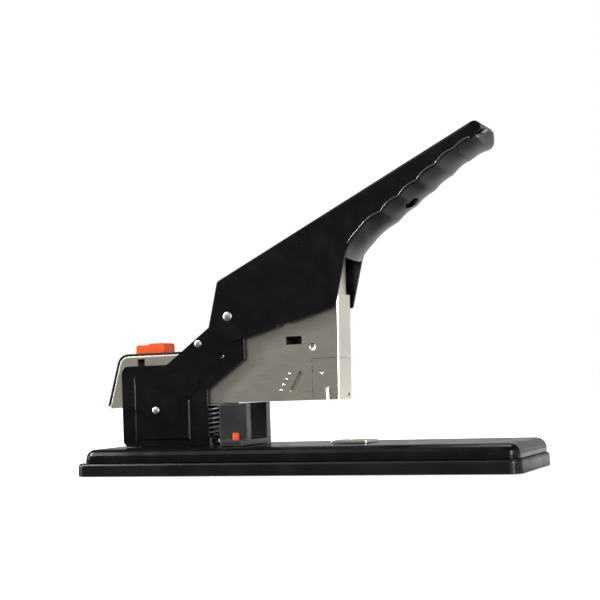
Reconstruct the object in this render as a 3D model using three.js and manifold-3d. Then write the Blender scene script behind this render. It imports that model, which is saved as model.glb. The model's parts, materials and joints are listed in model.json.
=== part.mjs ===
// Heavy-duty stapler: pressed base, two side frames, a sprung magazine arm with a front-loading
// staple drawer, a sliding driver, and a long lever handle. Millimetres, +Z up, +X towards the
// operator, origin on the desk under the middle of the base.
import * as THREE from "three";
import { mergeVertices } from "three/addons/utils/BufferGeometryUtils.js";
import Module from "manifold-3d";

const wasm = await Module();
wasm.setup();

// Clearances and cutting
const touchGap = 0.3;
const runningGap = 0.5;
const cutOverrun = 5;
const roundSides = 24;
const smallSides = 16;
const arcSteps = 8;

// Base
const baseLength = 285;
const baseWidth = 76;
const footHeight = 0.5;
const footRadius = 9;
const footInset = 16;
const footSeatDepth = 0.8;
const trayHeight = 8;
const trayWall = 2;
const trayFloor = 1.6;
const trayCornerRadius = 7;
const trayEdgeRadius = 2;
const shellRise = 8.5;
const shellWall = 1.5;
const shellEdgeRadius = 6;
const shellRearInset = 5;
const shellFrontInset = 1.2;
const shellSideInset = 1.2;
const trayBossRadius = 4;
const trayScrewRadius = 1.8;
const trayScrewHeadRadius = 3.2;
const trayScrewHeadHeight = 0.8;
const trayScrewInsetX = 34;
const trayScrewInsetY = 20;

// Anvil
const anvilCentreX = 32;
const anvilLength = 24;
const anvilWidth = 20;
const anvilThickness = 1.5;
const anvilGrooveOffset = 8;
const anvilGrooveWidth = 2.4;
const anvilGrooveLength = 15;
const anvilGrooveDepth = 0.8;
const anvilCornerRadius = 2;
const anvilSinkDepth = 0.8;
const anvilScrewRadius = 1.9;
const anvilScrewHeadRadius = 3.4;
const anvilScrewHeadHeight = 0.6;
const anvilScrewLength = 6;

// Side frames
const frameThickness = 1.5;
const frameOuterHalf = 13;
const frameRearX = -121.3;
const frameFrontX = -60;
const frameShoulderHeight = 51.5;
const frameShoulderRadius = 5;
const frameShoulderEndX = -88;
const frameNeckX = -56;
const frameNeckHeight = 74.5;
const frameHeadRadius = 9.5;
const frameChinHeight = 53;
const frameElbowHeight = 34.7;
const frameFootChamfer = 2.6;
const framePanelProud = 0.6;
const framePanelSlope = 0.9;
const framePanelRearX = -112;
const framePanelFrontX = -72.5;
const framePanelLowHeight = 4.3;
const framePanelBendHeight = 29;
const framePanelShoulderX = -62.5;
const framePanelShoulderHeight = 42;
const framePanelTopX = -67;
const framePanelTopHeight = 45.5;
const framePanelTopRamp = 7;
const frameDimpleX = -49.1;
const frameDimpleHeight = 55.8;
const frameDimpleRadius = 1.9;
const frameDimpleDepth = 0.5;
const frameNubX = -110.3;
const frameNubHeight = 23;
const frameNubRadius = 1.3;
const frameNubProud = 0.5;
const frameFootWidth = 7.2;
const frameFootRearInset = 3;
const frameFootLength = 42;
const frameScrewRadius = 1.8;
const frameScrewHeadRadius = 3.2;
const frameScrewHeadHeight = 1.8;
const frameScrewLength = 6;
const frameScrewInset = 6;

// Pins that cross the frames
const pinRadius = 2;
const pinHeadRadius = 2.5;
const pinHeadHeight = 1;
const handlePinHeadRadius = 3.1;
const handlePivotX = -43;
const handlePivotHeight = 79.5;
const magazinePivotX = -96.4;
const magazinePivotHeight = 23;
const stopPinX = -65.1;
const stopPinDrop = 4.3;

// Return spring under the magazine
const returnSpringX = -66;
const returnSpringRadius = 6.3;
const returnSpringWire = 1.4;
const returnSpringTurns = 7;
const seatRadius = 7.5;
const seatThickness = 1.2;
const seatSpigotRadius = 4.4;
const seatSpigotHeight = 3.5;

// Magazine arm
const magazineRise = 26.4;
const magazineHalfWidth = 10;
const magazineWall = 1.2;
const magazineFoldRadius = 1.5;
const magazineRearX = -133;
const magazineFrontX = 27.7;
const magazineFrontRise = 63.1;
const magazineFrontLean = 1.6;
const magazineRearRise = 32;
const magazineRearLean = 7.6;
const magazineRearRadius = 7;
const magazineRearDrop = 1.4;
const magazineHumpStartX = -64;
const magazineHumpX = -43;
const magazineHumpRise = 42.1;
const pivotEarHalfLength = 6.5;
const sideWindowX = -108.4;
const sideWindowLength = 5.4;
const sideWindowHeight = 6;
const sideWindowDrop = 2.4;
const coverHoleX = -0.9;
const coverHoleLength = 10.4;
const coverHoleHeight = 5;
const coverHoleRise = 36.5;
const sideDimpleX = 11.2;
const sideDimpleRise = 32.2;
const sideDimpleRadius = 2.3;
const sideDimpleDepth = 0.6;
const gaugeSlotLowX = -3.6;
const gaugeSlotLowRise = 6;
const gaugeSlotHighX = 2.6;
const gaugeSlotHighRise = 16.2;
const gaugeSlotRadius = 1.3;
const gaugeDotRadius = 0.9;
const gaugeDotProud = 0.3;
const gaugeDotOffset = 7.3;
const rearCoverThickness = 0.8;
const rearCoverFrontX = -79;
const springPlateRearX = -80;
const springPlateFrontX = -50;
const springPlateThickness = 1.2;
const springPlateLip = 5;
const springPlateLipDrop = 1.4;

// Release button on the rear of the magazine
const buttonRearX = -113.7;
const buttonLength = 20.7;
const buttonHalfWidth = 7;
const buttonProud = 7;
const buttonStepDrop = 0.8;
const buttonStepLength = 9;
const buttonEndRadius = 1.6;
const buttonBodyDepth = 1.1;
const buttonFlangeOverhang = 1.6;
const buttonFlangeThickness = 0.8;
const buttonTravel = 3;
const latchThickness = 1.4;
const latchHalfWidth = 4;
const latchToothHeight = 3.6;

// Staple drawer, rail, staples and pusher
const drawerRearX = -106;
const drawerWall = 1.2;
const drawerWallHeight = 16.4;
const drawerTabHeight = 24;
const drawerTabBridge = 4.7;
const noseLength = 17;
const noseRise = 24.8;
const noseRibInset = 8.3;
const noseRibWidth = 2.8;
const noseRibHeight = 7.6;
const noseRibProud = 0.9;
const noseHoleRadius = 1.2;
const noseHoleHeight = 2.6;
const noseHoleOffset = 5;
const noseNotchRadius = 0.8;
const noseNotchOffset = 6.5;
const noseDimpleInset = 11.1;
const noseDimpleHeight = 16.5;
const noseDimpleRadius = 1.2;
const noseDimpleDepth = 0.4;
const railHalfWidth = 5.5;
const railWall = 1;
const railRise = 14.2;
const railRearInset = 5;
const railEndWall = 2;
const railSlotHalfWidth = 1.8;
const railSlotInset = 6;
const stapleWire = 0.7;
const stapleStripLength = 66;
const pusherLength = 7;
const pusherCollarRadius = 3;
const rodRadius = 1.5;
const rodRise = 6.2;
const pusherSpringRadius = 3;
const pusherSpringWall = 1;

// Driver and its spring
const driverThickness = 1;
const driverHalfWidth = 6.2;
const driverTipRise = 16;
const driverTopRise = 84.6;
const driverHeadLength = 17;
const driverHeadThickness = 2.7;
const driverHeadLegHeight = 6.5;
const driverHeadLegThickness = 2;
const driverSpringBack = 12.6;
const driverSpringRadius = 4.4;
const driverSpringWire = 1.2;
const driverSpringTurns = 14;
const shelfRise = 34.6;
const shelfThickness = 1.2;
const shelfLength = 16;

// Handle
const handleHalfWidth = 15;
const handleWall = 1.4;
const handleWebThickness = 1.6;
const handleRearTopX = -50;
const handleRearTopHeight = 101.6;
const handleRearLowX = -57;
const handleRearLowHeight = 73.2;
const handleWebLowHeight = 79;
const handleTipX = 118.6;
const handleTipHeight = 179.4;
const handleTipRadius = 3.9;
const handleEndRadius = 11;
const handleFoldRadius = 1.4;
const handleRearCornerRadius = 3;
const handleEdgeInset = 0.2;
const handleTopEndX = 116.9;
const handleTopEndHeight = 182.9;
const handleFootX = 29;
const handleFootHeight = 81.9;
const handleChinX = -29.8;
const handleChinHeight = 66.1;
const handleHemRadius = 16;
const handleThroatX = 36.3;
const handleThroatHeight = 110.4;
const handleNotchX = -6.4;
const handleNotchLength = 5.4;
const handleNotchHeight = 73.7;
const gripRim = 2.2;
const gripDepth = 6.5;
const gripWall = 2.2;
const gripCuspX = 61;
const gripCuspHeight = 134.8;
const gripLastCuspX = 106.9;
const gripLastCuspHeight = 167.2;
const gripKneeX = 46.7;
const gripKneeHeight = 125.5;
const gripCrown = 4.7;
const gripSink = 2.3;
const gripEndWall = 2;
const gripLeadStretches = 2;
const gripGrooves = 4;
const gripGrooveDepth = 1.5;
const leverHalfWidth = 11;
const leverWall = 1.4;
const leverBossRadius = 6;
const leverNoseX = 26;
const leverNoseRise = 115.5;
const leverNoseRadius = 4;
const leverTopGap = 2.2;
const leverFrontX = 40;
const handleRivetRadius = 1.2;
const rearRivetX = 7.6;
const rearRivetDrop = 10.3;
const frontRivetX = 30.2;
const frontRivetDrop = 5.7;

// Paper guide
const guideRearX = -50;
const guideLength = 19;
const guideInnerHalf = 11.3;
const guideOuterHalf = 17;
const guideBarThickness = 3.5;
const guideRearRise = 25.7;
const guideFrontRise = 26;
const guideTabOverhang = 8.2;
const guideTabThickness = 3.4;
const guideRearTravel = 8;
const guideFrontTravel = 35;
const knobX = -36.8;
const knobY = -21;
const knobRadius = 2.1;
const knobHeight = 4.3;
const knobEdge = 0.6;
const knobStudRadius = 1.5;
const knobNutRadius = 2.8;
const knobNutHeight = 1.6;

// Heights and places that follow from the sizes above
const trayTop = footHeight + trayHeight;
const baseTop = trayTop + shellRise;
const frameInnerHalf = frameOuterHalf - frameThickness;
const framePanelOuterHalf = frameOuterHalf + framePanelProud;
const handlePivotZ = baseTop + handlePivotHeight;
const magazinePivotZ = baseTop + magazinePivotHeight;
const neckSlope = (frameNeckHeight - frameShoulderHeight) / (frameNeckX - frameShoulderEndX);
const stopPinZ = baseTop + frameNeckHeight + (stopPinX - frameNeckX) * neckSlope - stopPinDrop;
const magazineBottom = baseTop + magazineRise;
const magazineRearTop = magazineBottom + magazineRearRise;
const magazineFrontTop = magazineBottom + magazineFrontRise;
const drawerBottom = magazineBottom + touchGap;
const drawerFloorTop = drawerBottom + drawerWall;
const drawerHalfWidth = magazineHalfWidth - magazineWall - touchGap;
const leanShare = magazineFrontLean / magazineFrontRise;
const frontX = (z) => magazineFrontX + leanShare * (z - magazineBottom);
const driverFrontInset = magazineWall + touchGap;
const driverBackInset = driverFrontInset + driverThickness;
const feedFrontX = magazineFrontX - driverBackInset - runningGap;
const railTop = drawerFloorTop + railRise - drawerWall;
const stapleBottom = drawerFloorTop + runningGap;
const stapleHalfWidth = railHalfWidth + touchGap + stapleWire;
const stapleTop = railTop + touchGap + stapleWire;
const rodZ = drawerFloorTop + rodRise;
const railRearX = drawerRearX + railRearInset;
const stripRearX = feedFrontX - stapleStripLength;
const pusherFrontX = stripRearX - touchGap;
const springPlateTop = magazineBottom - touchGap;
const springPlateBottom = springPlateTop - springPlateThickness;
const driverTop = magazineBottom + driverTopRise;

const finishes = {
  blackPaint: { color: 0x17181a, roughness: 0.25, metalness: 0.1 },
  blackPlastic: { color: 0x1b1b1c, roughness: 0.5, metalness: 0 },
  rubber: { color: 0x101010, roughness: 0.9, metalness: 0 },
  nickel: { color: 0xb9b5aa, roughness: 0.3, metalness: 1 },
  steel: { color: 0x8f9194, roughness: 0.35, metalness: 1 },
  orange: { color: 0xf25c14, roughness: 0.45, metalness: 0 },
};

const part = new THREE.Group();

function add(name, geometry, finish) {
  geometry.computeVertexNormals();
  const mesh = new THREE.Mesh(geometry, new THREE.MeshStandardMaterial(finishes[finish]));
  mesh.name = name;
  part.add(mesh);
}

// Solids to and from the boolean library
function solid(geometry) {
  const bare = geometry.clone();
  bare.deleteAttribute("normal");
  bare.deleteAttribute("uv");
  const merged = mergeVertices(bare);
  const vertProperties = new Float32Array(merged.attributes.position.array);
  const triVerts = new Uint32Array(merged.index.array);
  return new wasm.Manifold(new wasm.Mesh({ numProp: 3, vertProperties, triVerts }));
}

function geometryOf(body) {
  const mesh = body.getMesh();
  const geometry = new THREE.BufferGeometry();
  const positions = new Float32Array(mesh.vertProperties);
  geometry.setAttribute("position", new THREE.BufferAttribute(positions, mesh.numProp));
  geometry.setIndex(new THREE.BufferAttribute(new Uint32Array(mesh.triVerts), 1));
  return geometry;
}

function cut(body, ...tools) {
  return tools.reduce((rest, tool) => rest.subtract(tool), body);
}

function join(body, ...others) {
  return others.reduce((rest, other) => rest.add(other), body);
}

// A side outline in X and Z carried across in Y
function slab(points, yFrom, yTo) {
  const shape = new THREE.Shape(points.map(([x, z]) => new THREE.Vector2(x, z)));
  const geometry = new THREE.ExtrudeGeometry(shape, { depth: yTo - yFrom, bevelEnabled: false });
  geometry.rotateX(Math.PI / 2);
  geometry.translate(0, yTo, 0);
  return solid(geometry);
}

function block(xFrom, xTo, yFrom, yTo, zFrom, zTo) {
  const geometry = new THREE.BoxGeometry(xTo - xFrom, yTo - yFrom, zTo - zFrom);
  geometry.translate((xFrom + xTo) / 2, (yFrom + yTo) / 2, (zFrom + zTo) / 2);
  return solid(geometry);
}

// A pin or bore along Y
function crossPin(x, z, radius, yFrom, yTo, sides = roundSides) {
  const geometry = new THREE.CylinderGeometry(radius, radius, yTo - yFrom, sides);
  geometry.translate(x, (yFrom + yTo) / 2, z);
  return solid(geometry);
}

// A round piece turned about an upright axis, from pairs of radius and height
function turned(x, y, profile, sides = roundSides) {
  const points = profile.map(([r, z]) => new THREE.Vector2(r, z));
  const geometry = new THREE.LatheGeometry(points, sides);
  geometry.rotateX(Math.PI / 2);
  geometry.translate(x, y, 0);
  return solid(geometry);
}

function upright(x, y, radius, zFrom, zTo, sides = roundSides) {
  return turned(x, y, [[0, zFrom], [radius, zFrom], [radius, zTo], [0, zTo]], sides);
}

// A round piece turned about a line along Y, from pairs of radius and place along it
function turnedAcross(x, z, profile) {
  const points = profile.map(([r, y]) => new THREE.Vector2(r, y));
  const geometry = new THREE.LatheGeometry(points, roundSides);
  geometry.translate(x, 0, z);
  return solid(geometry);
}

// The ball that leaves a shallow round dimple in a wall across Y
function dimple(x, wallY, z, radius, depth) {
  const ballRadius = (radius * radius + depth * depth) / (2 * depth);
  const geometry = new THREE.SphereGeometry(ballRadius, roundSides, roundSides / 2);
  geometry.rotateX(Math.PI / 2);
  geometry.translate(x, wallY + Math.sign(wallY) * (ballRadius - depth), z);
  return solid(geometry);
}

function bothSides(make) {
  return [make(-1), make(1)];
}

function arc(cx, cz, radius, fromDegrees, toDegrees, steps = arcSteps) {
  const turn = THREE.MathUtils.degToRad(toDegrees - fromDegrees) / steps;
  const start = THREE.MathUtils.degToRad(fromDegrees);
  return Array.from({ length: steps + 1 }, (_, i) => [
    cx + radius * Math.cos(start + i * turn),
    cz + radius * Math.sin(start + i * turn),
  ]);
}

// A rounded rectangle in plan, from its limits in X and half its width
function planOutline(xFrom, xTo, halfWidth, radius, inset) {
  const r = Math.max(radius - inset, touchGap);
  const x0 = xFrom + inset + r;
  const x1 = xTo - inset - r;
  const y1 = halfWidth - inset - r;
  return [
    ...arc(x1, -y1, r, -90, 0),
    ...arc(x1, y1, r, 0, 90),
    ...arc(x0, y1, r, 90, 180),
    ...arc(x0, -y1, r, 180, 270),
  ];
}

// Rings of equal point count stacked in Z and closed at both ends
function loftGeometry(rings) {
  const count = rings[0].points.length;
  const positions = rings.flatMap(({ points, z }) => points.flatMap(([x, y]) => [x, y, z]));
  const index = [];
  for (let ring = 0; ring + 1 < rings.length; ring++) {
    for (let i = 0; i < count; i++) {
      const next = (i + 1) % count;
      const a = ring * count + i;
      const b = ring * count + next;
      index.push(a, b, b + count, a, b + count, a + count);
    }
  }
  const last = (rings.length - 1) * count;
  const ends = [rings[0], rings[rings.length - 1]].map(({ points }) =>
    THREE.ShapeUtils.triangulateShape(points.map(([x, y]) => new THREE.Vector2(x, y)), []));
  ends[0].forEach(([a, b, c]) => index.push(a, c, b));
  ends[1].forEach(([a, b, c]) => index.push(last + a, last + b, last + c));
  const geometry = new THREE.BufferGeometry();
  geometry.setAttribute("position", new THREE.BufferAttribute(new Float32Array(positions), 3));
  geometry.setIndex(index);
  return geometry;
}

function loft(rings) {
  return solid(loftGeometry(rings));
}

// Side outlines at several places in Y, joined to one solid
function loftAcross(rings) {
  const stacked = rings.map(({ points, y }) => ({ points, z: -y })).sort((a, b) => a.z - b.z);
  const geometry = loftGeometry(stacked);
  geometry.rotateX(Math.PI / 2);
  return solid(geometry);
}

// A side outline carried across, with the folds to both sides rounded
function foldedSlab(outlineAt, halfWidth, radius) {
  const fold = arc(0, 0, radius, 0, 90, arcSteps / 2).map(([across, up]) => ({
    points: outlineAt(radius - across), y: halfWidth - radius + up,
  }));
  return loftAcross([...fold, ...fold.map(({ points, y }) => ({ points, y: -y }))]);
}

// A tray-like block in plan with a rounded top edge
function roundedBlock(xFrom, xTo, halfWidth, cornerRadius, zFrom, zTo, edgeRadius) {
  const rings = [{ points: planOutline(xFrom, xTo, halfWidth, cornerRadius, 0), z: zFrom }];
  for (const [across, up] of arc(0, 0, edgeRadius, 0, 90, arcSteps / 2)) {
    const inset = edgeRadius - across;
    const points = planOutline(xFrom, xTo, halfWidth, cornerRadius, inset);
    rings.push({ points, z: zTo - edgeRadius + up });
  }
  return loft(rings);
}

// A closed solid between two facing grids of points with the same rows and columns
function gridSolid(outer, inner) {
  const rows = outer.length;
  const columns = outer[0].length;
  const at = (side, row, column) => (side * rows + row) * columns + column;
  const index = [];
  const quad = (a, b, c, d) => index.push(a, b, c, a, c, d);
  for (let row = 0; row + 1 < rows; row++) {
    for (let column = 0; column + 1 < columns; column++) {
      quad(at(0, row, column), at(0, row, column + 1), at(0, row + 1, column + 1), at(0, row + 1, column));
      quad(at(1, row, column), at(1, row + 1, column), at(1, row + 1, column + 1), at(1, row, column + 1));
    }
    const last = columns - 1;
    quad(at(0, row, 0), at(0, row + 1, 0), at(1, row + 1, 0), at(1, row, 0));
    quad(at(0, row, last), at(1, row, last), at(1, row + 1, last), at(0, row + 1, last));
  }
  for (let column = 0; column + 1 < columns; column++) {
    const last = rows - 1;
    quad(at(0, 0, column), at(1, 0, column), at(1, 0, column + 1), at(0, 0, column + 1));
    quad(at(0, last, column), at(0, last, column + 1), at(1, last, column + 1), at(1, last, column));
  }
  const geometry = new THREE.BufferGeometry();
  const positions = new Float32Array([...outer, ...inner].flat(2));
  geometry.setAttribute("position", new THREE.BufferAttribute(positions, 3));
  geometry.setIndex(index);
  return solid(geometry);
}

// A wire coil about an upright axis, with both ends run straight towards their seats
const coilSides = 5;
const coilStepsPerTurn = 8;
function coil(x, y, zFrom, zTo, radius, wire, turns) {
  const steps = turns * coilStepsPerTurn;
  const path = [new THREE.Vector3(radius, 0, zFrom)];
  const low = zFrom + wire;
  const high = zTo - wire;
  for (let i = 0; i <= steps; i++) {
    const angle = (i / coilStepsPerTurn) * 2 * Math.PI;
    const rise = low + ((high - low) * i) / steps;
    path.push(new THREE.Vector3(radius * Math.cos(angle), radius * Math.sin(angle), rise));
  }
  const end = path[path.length - 1];
  path.push(new THREE.Vector3(end.x, end.y, zTo));
  const positions = [];
  let side = new THREE.Vector3(1, 0, 0);
  path.forEach((point, i) => {
    const before = path[Math.max(i - 1, 0)];
    const after = path[Math.min(i + 1, path.length - 1)];
    const along = after.clone().sub(before).normalize();
    side = side.clone().addScaledVector(along, -side.dot(along)).normalize();
    const other = along.clone().cross(side);
    for (let k = 0; k < coilSides; k++) {
      const angle = (k / coilSides) * 2 * Math.PI;
      const edge = point.clone();
      edge.addScaledVector(side, (Math.cos(angle) * wire) / 2);
      edge.addScaledVector(other, (Math.sin(angle) * wire) / 2);
      positions.push(edge.x + x, edge.y + y, edge.z);
    }
  });
  const index = [];
  for (let ring = 0; ring + 1 < path.length; ring++) {
    for (let k = 0; k < coilSides; k++) {
      const a = ring * coilSides + k;
      const b = ring * coilSides + ((k + 1) % coilSides);
      index.push(a, b, b + coilSides, a, b + coilSides, a + coilSides);
    }
  }
  const last = (path.length - 1) * coilSides;
  for (let k = 1; k + 1 < coilSides; k++) {
    index.push(0, k + 1, k);
    index.push(last, last + k, last + k + 1);
  }
  const geometry = new THREE.BufferGeometry();
  geometry.setAttribute("position", new THREE.BufferAttribute(new Float32Array(positions), 3));
  geometry.setIndex(index);
  return { geometry, gap: leastGap(path, wire) };
}

// The least distance between wire surfaces of points more than half a turn apart
function leastGap(path, wire) {
  let least = Infinity;
  for (let i = 0; i < path.length; i++) {
    for (let j = i + coilStepsPerTurn / 2; j < path.length; j++) {
      least = Math.min(least, path[i].distanceTo(path[j]) - wire);
    }
  }
  return least;
}

// Base: a plastic tray under a pressed steel shell, on four rubber feet
const halfLength = baseLength / 2;
const halfBaseWidth = baseWidth / 2;
const shellRearX = -halfLength + shellRearInset;
const shellFrontX = halfLength - shellFrontInset;
const shellHalfWidth = halfBaseWidth - shellSideInset;
const shellInnerTop = baseTop - shellWall;
const trayFloorTop = footHeight + trayFloor;
const footPlaces = [
  [-halfLength + footInset, -halfBaseWidth + footInset],
  [-halfLength + footInset, halfBaseWidth - footInset],
  [halfLength - footInset, -halfBaseWidth + footInset],
  [halfLength - footInset, halfBaseWidth - footInset],
];
const trayScrewPlaces = [
  [-halfLength + trayScrewInsetX, -trayScrewInsetY],
  [-halfLength + trayScrewInsetX, trayScrewInsetY],
  [halfLength - trayScrewInsetX, -trayScrewInsetY],
  [halfLength - trayScrewInsetX, trayScrewInsetY],
];

function baseShell() {
  const outside = roundedBlock(
    shellRearX, shellFrontX, shellHalfWidth, trayCornerRadius, trayTop + touchGap, baseTop, shellEdgeRadius,
  );
  const inside = roundedBlock(
    shellRearX + shellWall, shellFrontX - shellWall, shellHalfWidth - shellWall,
    trayCornerRadius - shellWall, trayTop - cutOverrun, shellInnerTop, shellEdgeRadius - shellWall,
  );
  const bosses = trayScrewPlaces.map(([x, y]) =>
    upright(x, y, trayBossRadius, trayTop - trayBossRadius / 2, baseTop - shellWall / 2, smallSides));
  const bores = trayScrewPlaces.map(([x, y]) =>
    upright(x, y, trayScrewRadius + touchGap, trayTop - cutOverrun, shellInnerTop - touchGap, smallSides));
  const anvilBore = upright(
    anvilCentreX, 0, anvilScrewRadius + touchGap, trayTop, baseTop + cutOverrun, smallSides,
  );
  const frameBores = frameScrewPlaces().map(([x, y]) =>
    upright(x, y, frameScrewRadius + touchGap, trayTop, baseTop + cutOverrun, smallSides));
  const slotEnd = knobStudRadius + touchGap;
  const guideSlot = block(
    knobX - guideRearTravel - slotEnd, knobX + guideFrontTravel + slotEnd,
    knobY - slotEnd, knobY + slotEnd, trayTop, baseTop + cutOverrun,
  );
  return cut(join(cut(outside, inside), ...bosses), ...bores, anvilBore, ...frameBores, guideSlot);
}

function baseTray() {
  const outside = roundedBlock(
    -halfLength, halfLength, halfBaseWidth, trayCornerRadius, footHeight, trayTop, trayEdgeRadius,
  );
  const inside = roundedBlock(
    shellRearX + shellWall, halfLength - trayWall - shellFrontInset, shellHalfWidth - shellWall,
    trayCornerRadius - shellWall, trayFloorTop, trayTop + cutOverrun, trayEdgeRadius,
  );
  const bores = trayScrewPlaces.map(([x, y]) =>
    upright(x, y, trayScrewRadius + touchGap, 0, trayFloorTop + cutOverrun, smallSides));
  const sinkTop = footHeight + trayScrewHeadHeight + touchGap;
  const sinks = trayScrewPlaces.map(([x, y]) =>
    upright(x, y, trayScrewHeadRadius + touchGap, 0, sinkTop, smallSides));
  const seats = footPlaces.map(([x, y]) =>
    upright(x, y, footRadius + touchGap, 0, footHeight + footSeatDepth, roundSides));
  return cut(outside, inside, ...bores, ...sinks, ...seats);
}

add("base_shell", geometryOf(baseShell()), "blackPaint");
add("base_tray", geometryOf(baseTray()), "blackPlastic");
footPlaces.forEach(([x, y], i) => {
  const top = footHeight + footSeatDepth - touchGap;
  add(`rubber_foot_${i + 1}`, geometryOf(upright(x, y, footRadius, 0, top)), "rubber");
});
trayScrewPlaces.forEach(([x, y], i) => {
  const headBottom = footHeight;
  const headTop = headBottom + trayScrewHeadHeight;
  const profile = [
    [0, headBottom], [trayScrewHeadRadius, headBottom], [trayScrewHeadRadius, headTop],
    [trayScrewRadius, headTop], [trayScrewRadius, trayTop], [0, trayTop],
  ];
  add(`tray_screw_${i + 1}`, geometryOf(turned(x, y, profile, smallSides)), "steel");
});

// Anvil: a plate with two forming grooves, turned about its centre screw
const anvilBottom = baseTop + touchGap;
const anvilTop = anvilBottom + anvilThickness;
function anvilPlate() {
  const half = anvilLength / 2;
  const outline = planOutline(
    anvilCentreX - half, anvilCentreX + half, anvilWidth / 2, anvilCornerRadius, 0,
  );
  const plate = loft([{ points: outline, z: anvilBottom }, { points: outline, z: anvilTop }]);
  const grooves = [-anvilGrooveOffset, anvilGrooveOffset].map((offset) => block(
    anvilCentreX + offset - anvilGrooveWidth / 2, anvilCentreX + offset + anvilGrooveWidth / 2,
    -anvilGrooveLength / 2, anvilGrooveLength / 2, anvilTop - anvilGrooveDepth, anvilTop + cutOverrun,
  ));
  const bore = upright(anvilCentreX, 0, anvilScrewRadius + touchGap, 0, anvilTop + cutOverrun, smallSides);
  const sink = upright(
    anvilCentreX, 0, anvilScrewHeadRadius + touchGap, anvilTop - anvilSinkDepth, anvilTop + cutOverrun,
  );
  return cut(plate, ...grooves, bore, sink);
}
add("anvil_plate", geometryOf(anvilPlate()), "nickel");
const anvilScrewSeat = anvilTop - anvilSinkDepth + touchGap;
add("anvil_screw", geometryOf(turned(anvilCentreX, 0, [
  [0, anvilScrewSeat - anvilScrewLength], [anvilScrewRadius, anvilScrewSeat - anvilScrewLength],
  [anvilScrewRadius, anvilScrewSeat], [anvilScrewHeadRadius, anvilScrewSeat],
  [anvilScrewHeadRadius - anvilScrewHeadHeight / 2, anvilScrewSeat + anvilScrewHeadHeight],
  [0, anvilScrewSeat + anvilScrewHeadHeight],
])), "nickel");

// Side frames with feet turned inwards, each held by two screws
function frameScrewPlaces() {
  const footRearX = frameRearX + frameFootRearInset;
  const y = frameInnerHalf - frameFootWidth / 2;
  return [-y, y].flatMap((side) => [
    [footRearX + frameScrewInset, side],
    [footRearX + frameFootLength - frameScrewInset, side],
  ]);
}

function frameOutline() {
  const bottom = baseTop + touchGap;
  const shoulderZ = baseTop + frameShoulderHeight;
  return [
    [frameRearX, bottom + frameFootChamfer],
    [frameRearX + frameFootChamfer, bottom],
    [frameFrontX, bottom],
    [frameFrontX, baseTop + frameElbowHeight],
    [handlePivotX + frameHeadRadius, baseTop + frameChinHeight],
    ...arc(handlePivotX, handlePivotZ, frameHeadRadius, 0, 180),
    [frameNeckX, baseTop + frameNeckHeight],
    [frameShoulderEndX, shoulderZ],
    ...arc(frameRearX + frameShoulderRadius, shoulderZ - frameShoulderRadius, frameShoulderRadius, 90, 180),
  ];
}

// The panel pressed outwards from each frame, drawn back by an inset
function panelOutline(inset) {
  const low = baseTop + framePanelLowHeight + inset;
  const top = baseTop + framePanelTopHeight - (inset * framePanelTopRamp) / framePanelSlope;
  return [
    [framePanelRearX + inset, low],
    [framePanelFrontX - inset, low],
    [framePanelFrontX - inset, baseTop + framePanelBendHeight],
    [framePanelShoulderX - inset, baseTop + framePanelShoulderHeight],
    [framePanelTopX - inset, top],
    [framePanelRearX + inset, top],
  ];
}

function across(points, side, from, to) {
  return slab(points, Math.min(side * from, side * to), Math.max(side * from, side * to));
}

function sideFrame(side) {
  const plate = across(frameOutline(), side, frameInnerHalf, frameOuterHalf);
  const panel = loftAcross([
    { points: panelOutline(0), y: side * (frameOuterHalf - touchGap) },
    { points: panelOutline(0), y: side * frameOuterHalf },
    { points: panelOutline(framePanelSlope), y: side * framePanelOuterHalf },
  ]);
  const recess = across(
    panelOutline(framePanelSlope), side, frameInnerHalf - cutOverrun, frameInnerHalf + framePanelProud / 2,
  );
  const nub = across(
    arc(frameNubX, baseTop + frameNubHeight, frameNubRadius, 0, 315, arcSteps - 1),
    side, frameOuterHalf, framePanelOuterHalf + frameNubProud,
  );
  const dent = dimple(
    frameDimpleX, side * frameOuterHalf, baseTop + frameDimpleHeight, frameDimpleRadius, frameDimpleDepth,
  );
  const footY = [side * (frameInnerHalf - frameFootWidth), side * (frameInnerHalf + frameThickness / 2)];
  const footRearX = frameRearX + frameFootRearInset;
  const footBottom = baseTop + touchGap;
  const foot = block(
    footRearX, footRearX + frameFootLength, Math.min(...footY), Math.max(...footY),
    footBottom, footBottom + frameThickness,
  );
  const pins = [[handlePivotX, handlePivotZ], [magazinePivotX, magazinePivotZ], [stopPinX, stopPinZ]];
  const boreHalf = frameOuterHalf + cutOverrun;
  const bores = pins.map(([x, z]) => crossPin(x, z, pinRadius + touchGap, -boreHalf, boreHalf));
  const screwBores = frameScrewPlaces().map(([x, y]) =>
    upright(x, y, frameScrewRadius + touchGap, 0, footBottom + cutOverrun, smallSides));
  return cut(join(plate, panel, foot, nub), recess, dent, ...bores, ...screwBores);
}

add("side_frame_left", geometryOf(sideFrame(-1)), "blackPaint");
add("side_frame_right", geometryOf(sideFrame(1)), "blackPaint");
frameScrewPlaces().forEach(([x, y], i) => {
  const seat = baseTop + touchGap + frameThickness + touchGap;
  const profile = [
    [0, seat - frameScrewLength], [frameScrewRadius, seat - frameScrewLength], [frameScrewRadius, seat],
    [frameScrewHeadRadius, seat], [frameScrewHeadRadius, seat + frameScrewHeadHeight / 2],
    [frameScrewRadius, seat + frameScrewHeadHeight], [0, seat + frameScrewHeadHeight],
  ];
  add(`frame_screw_${i + 1}`, geometryOf(turned(x, y, profile, smallSides)), "steel");
});

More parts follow.
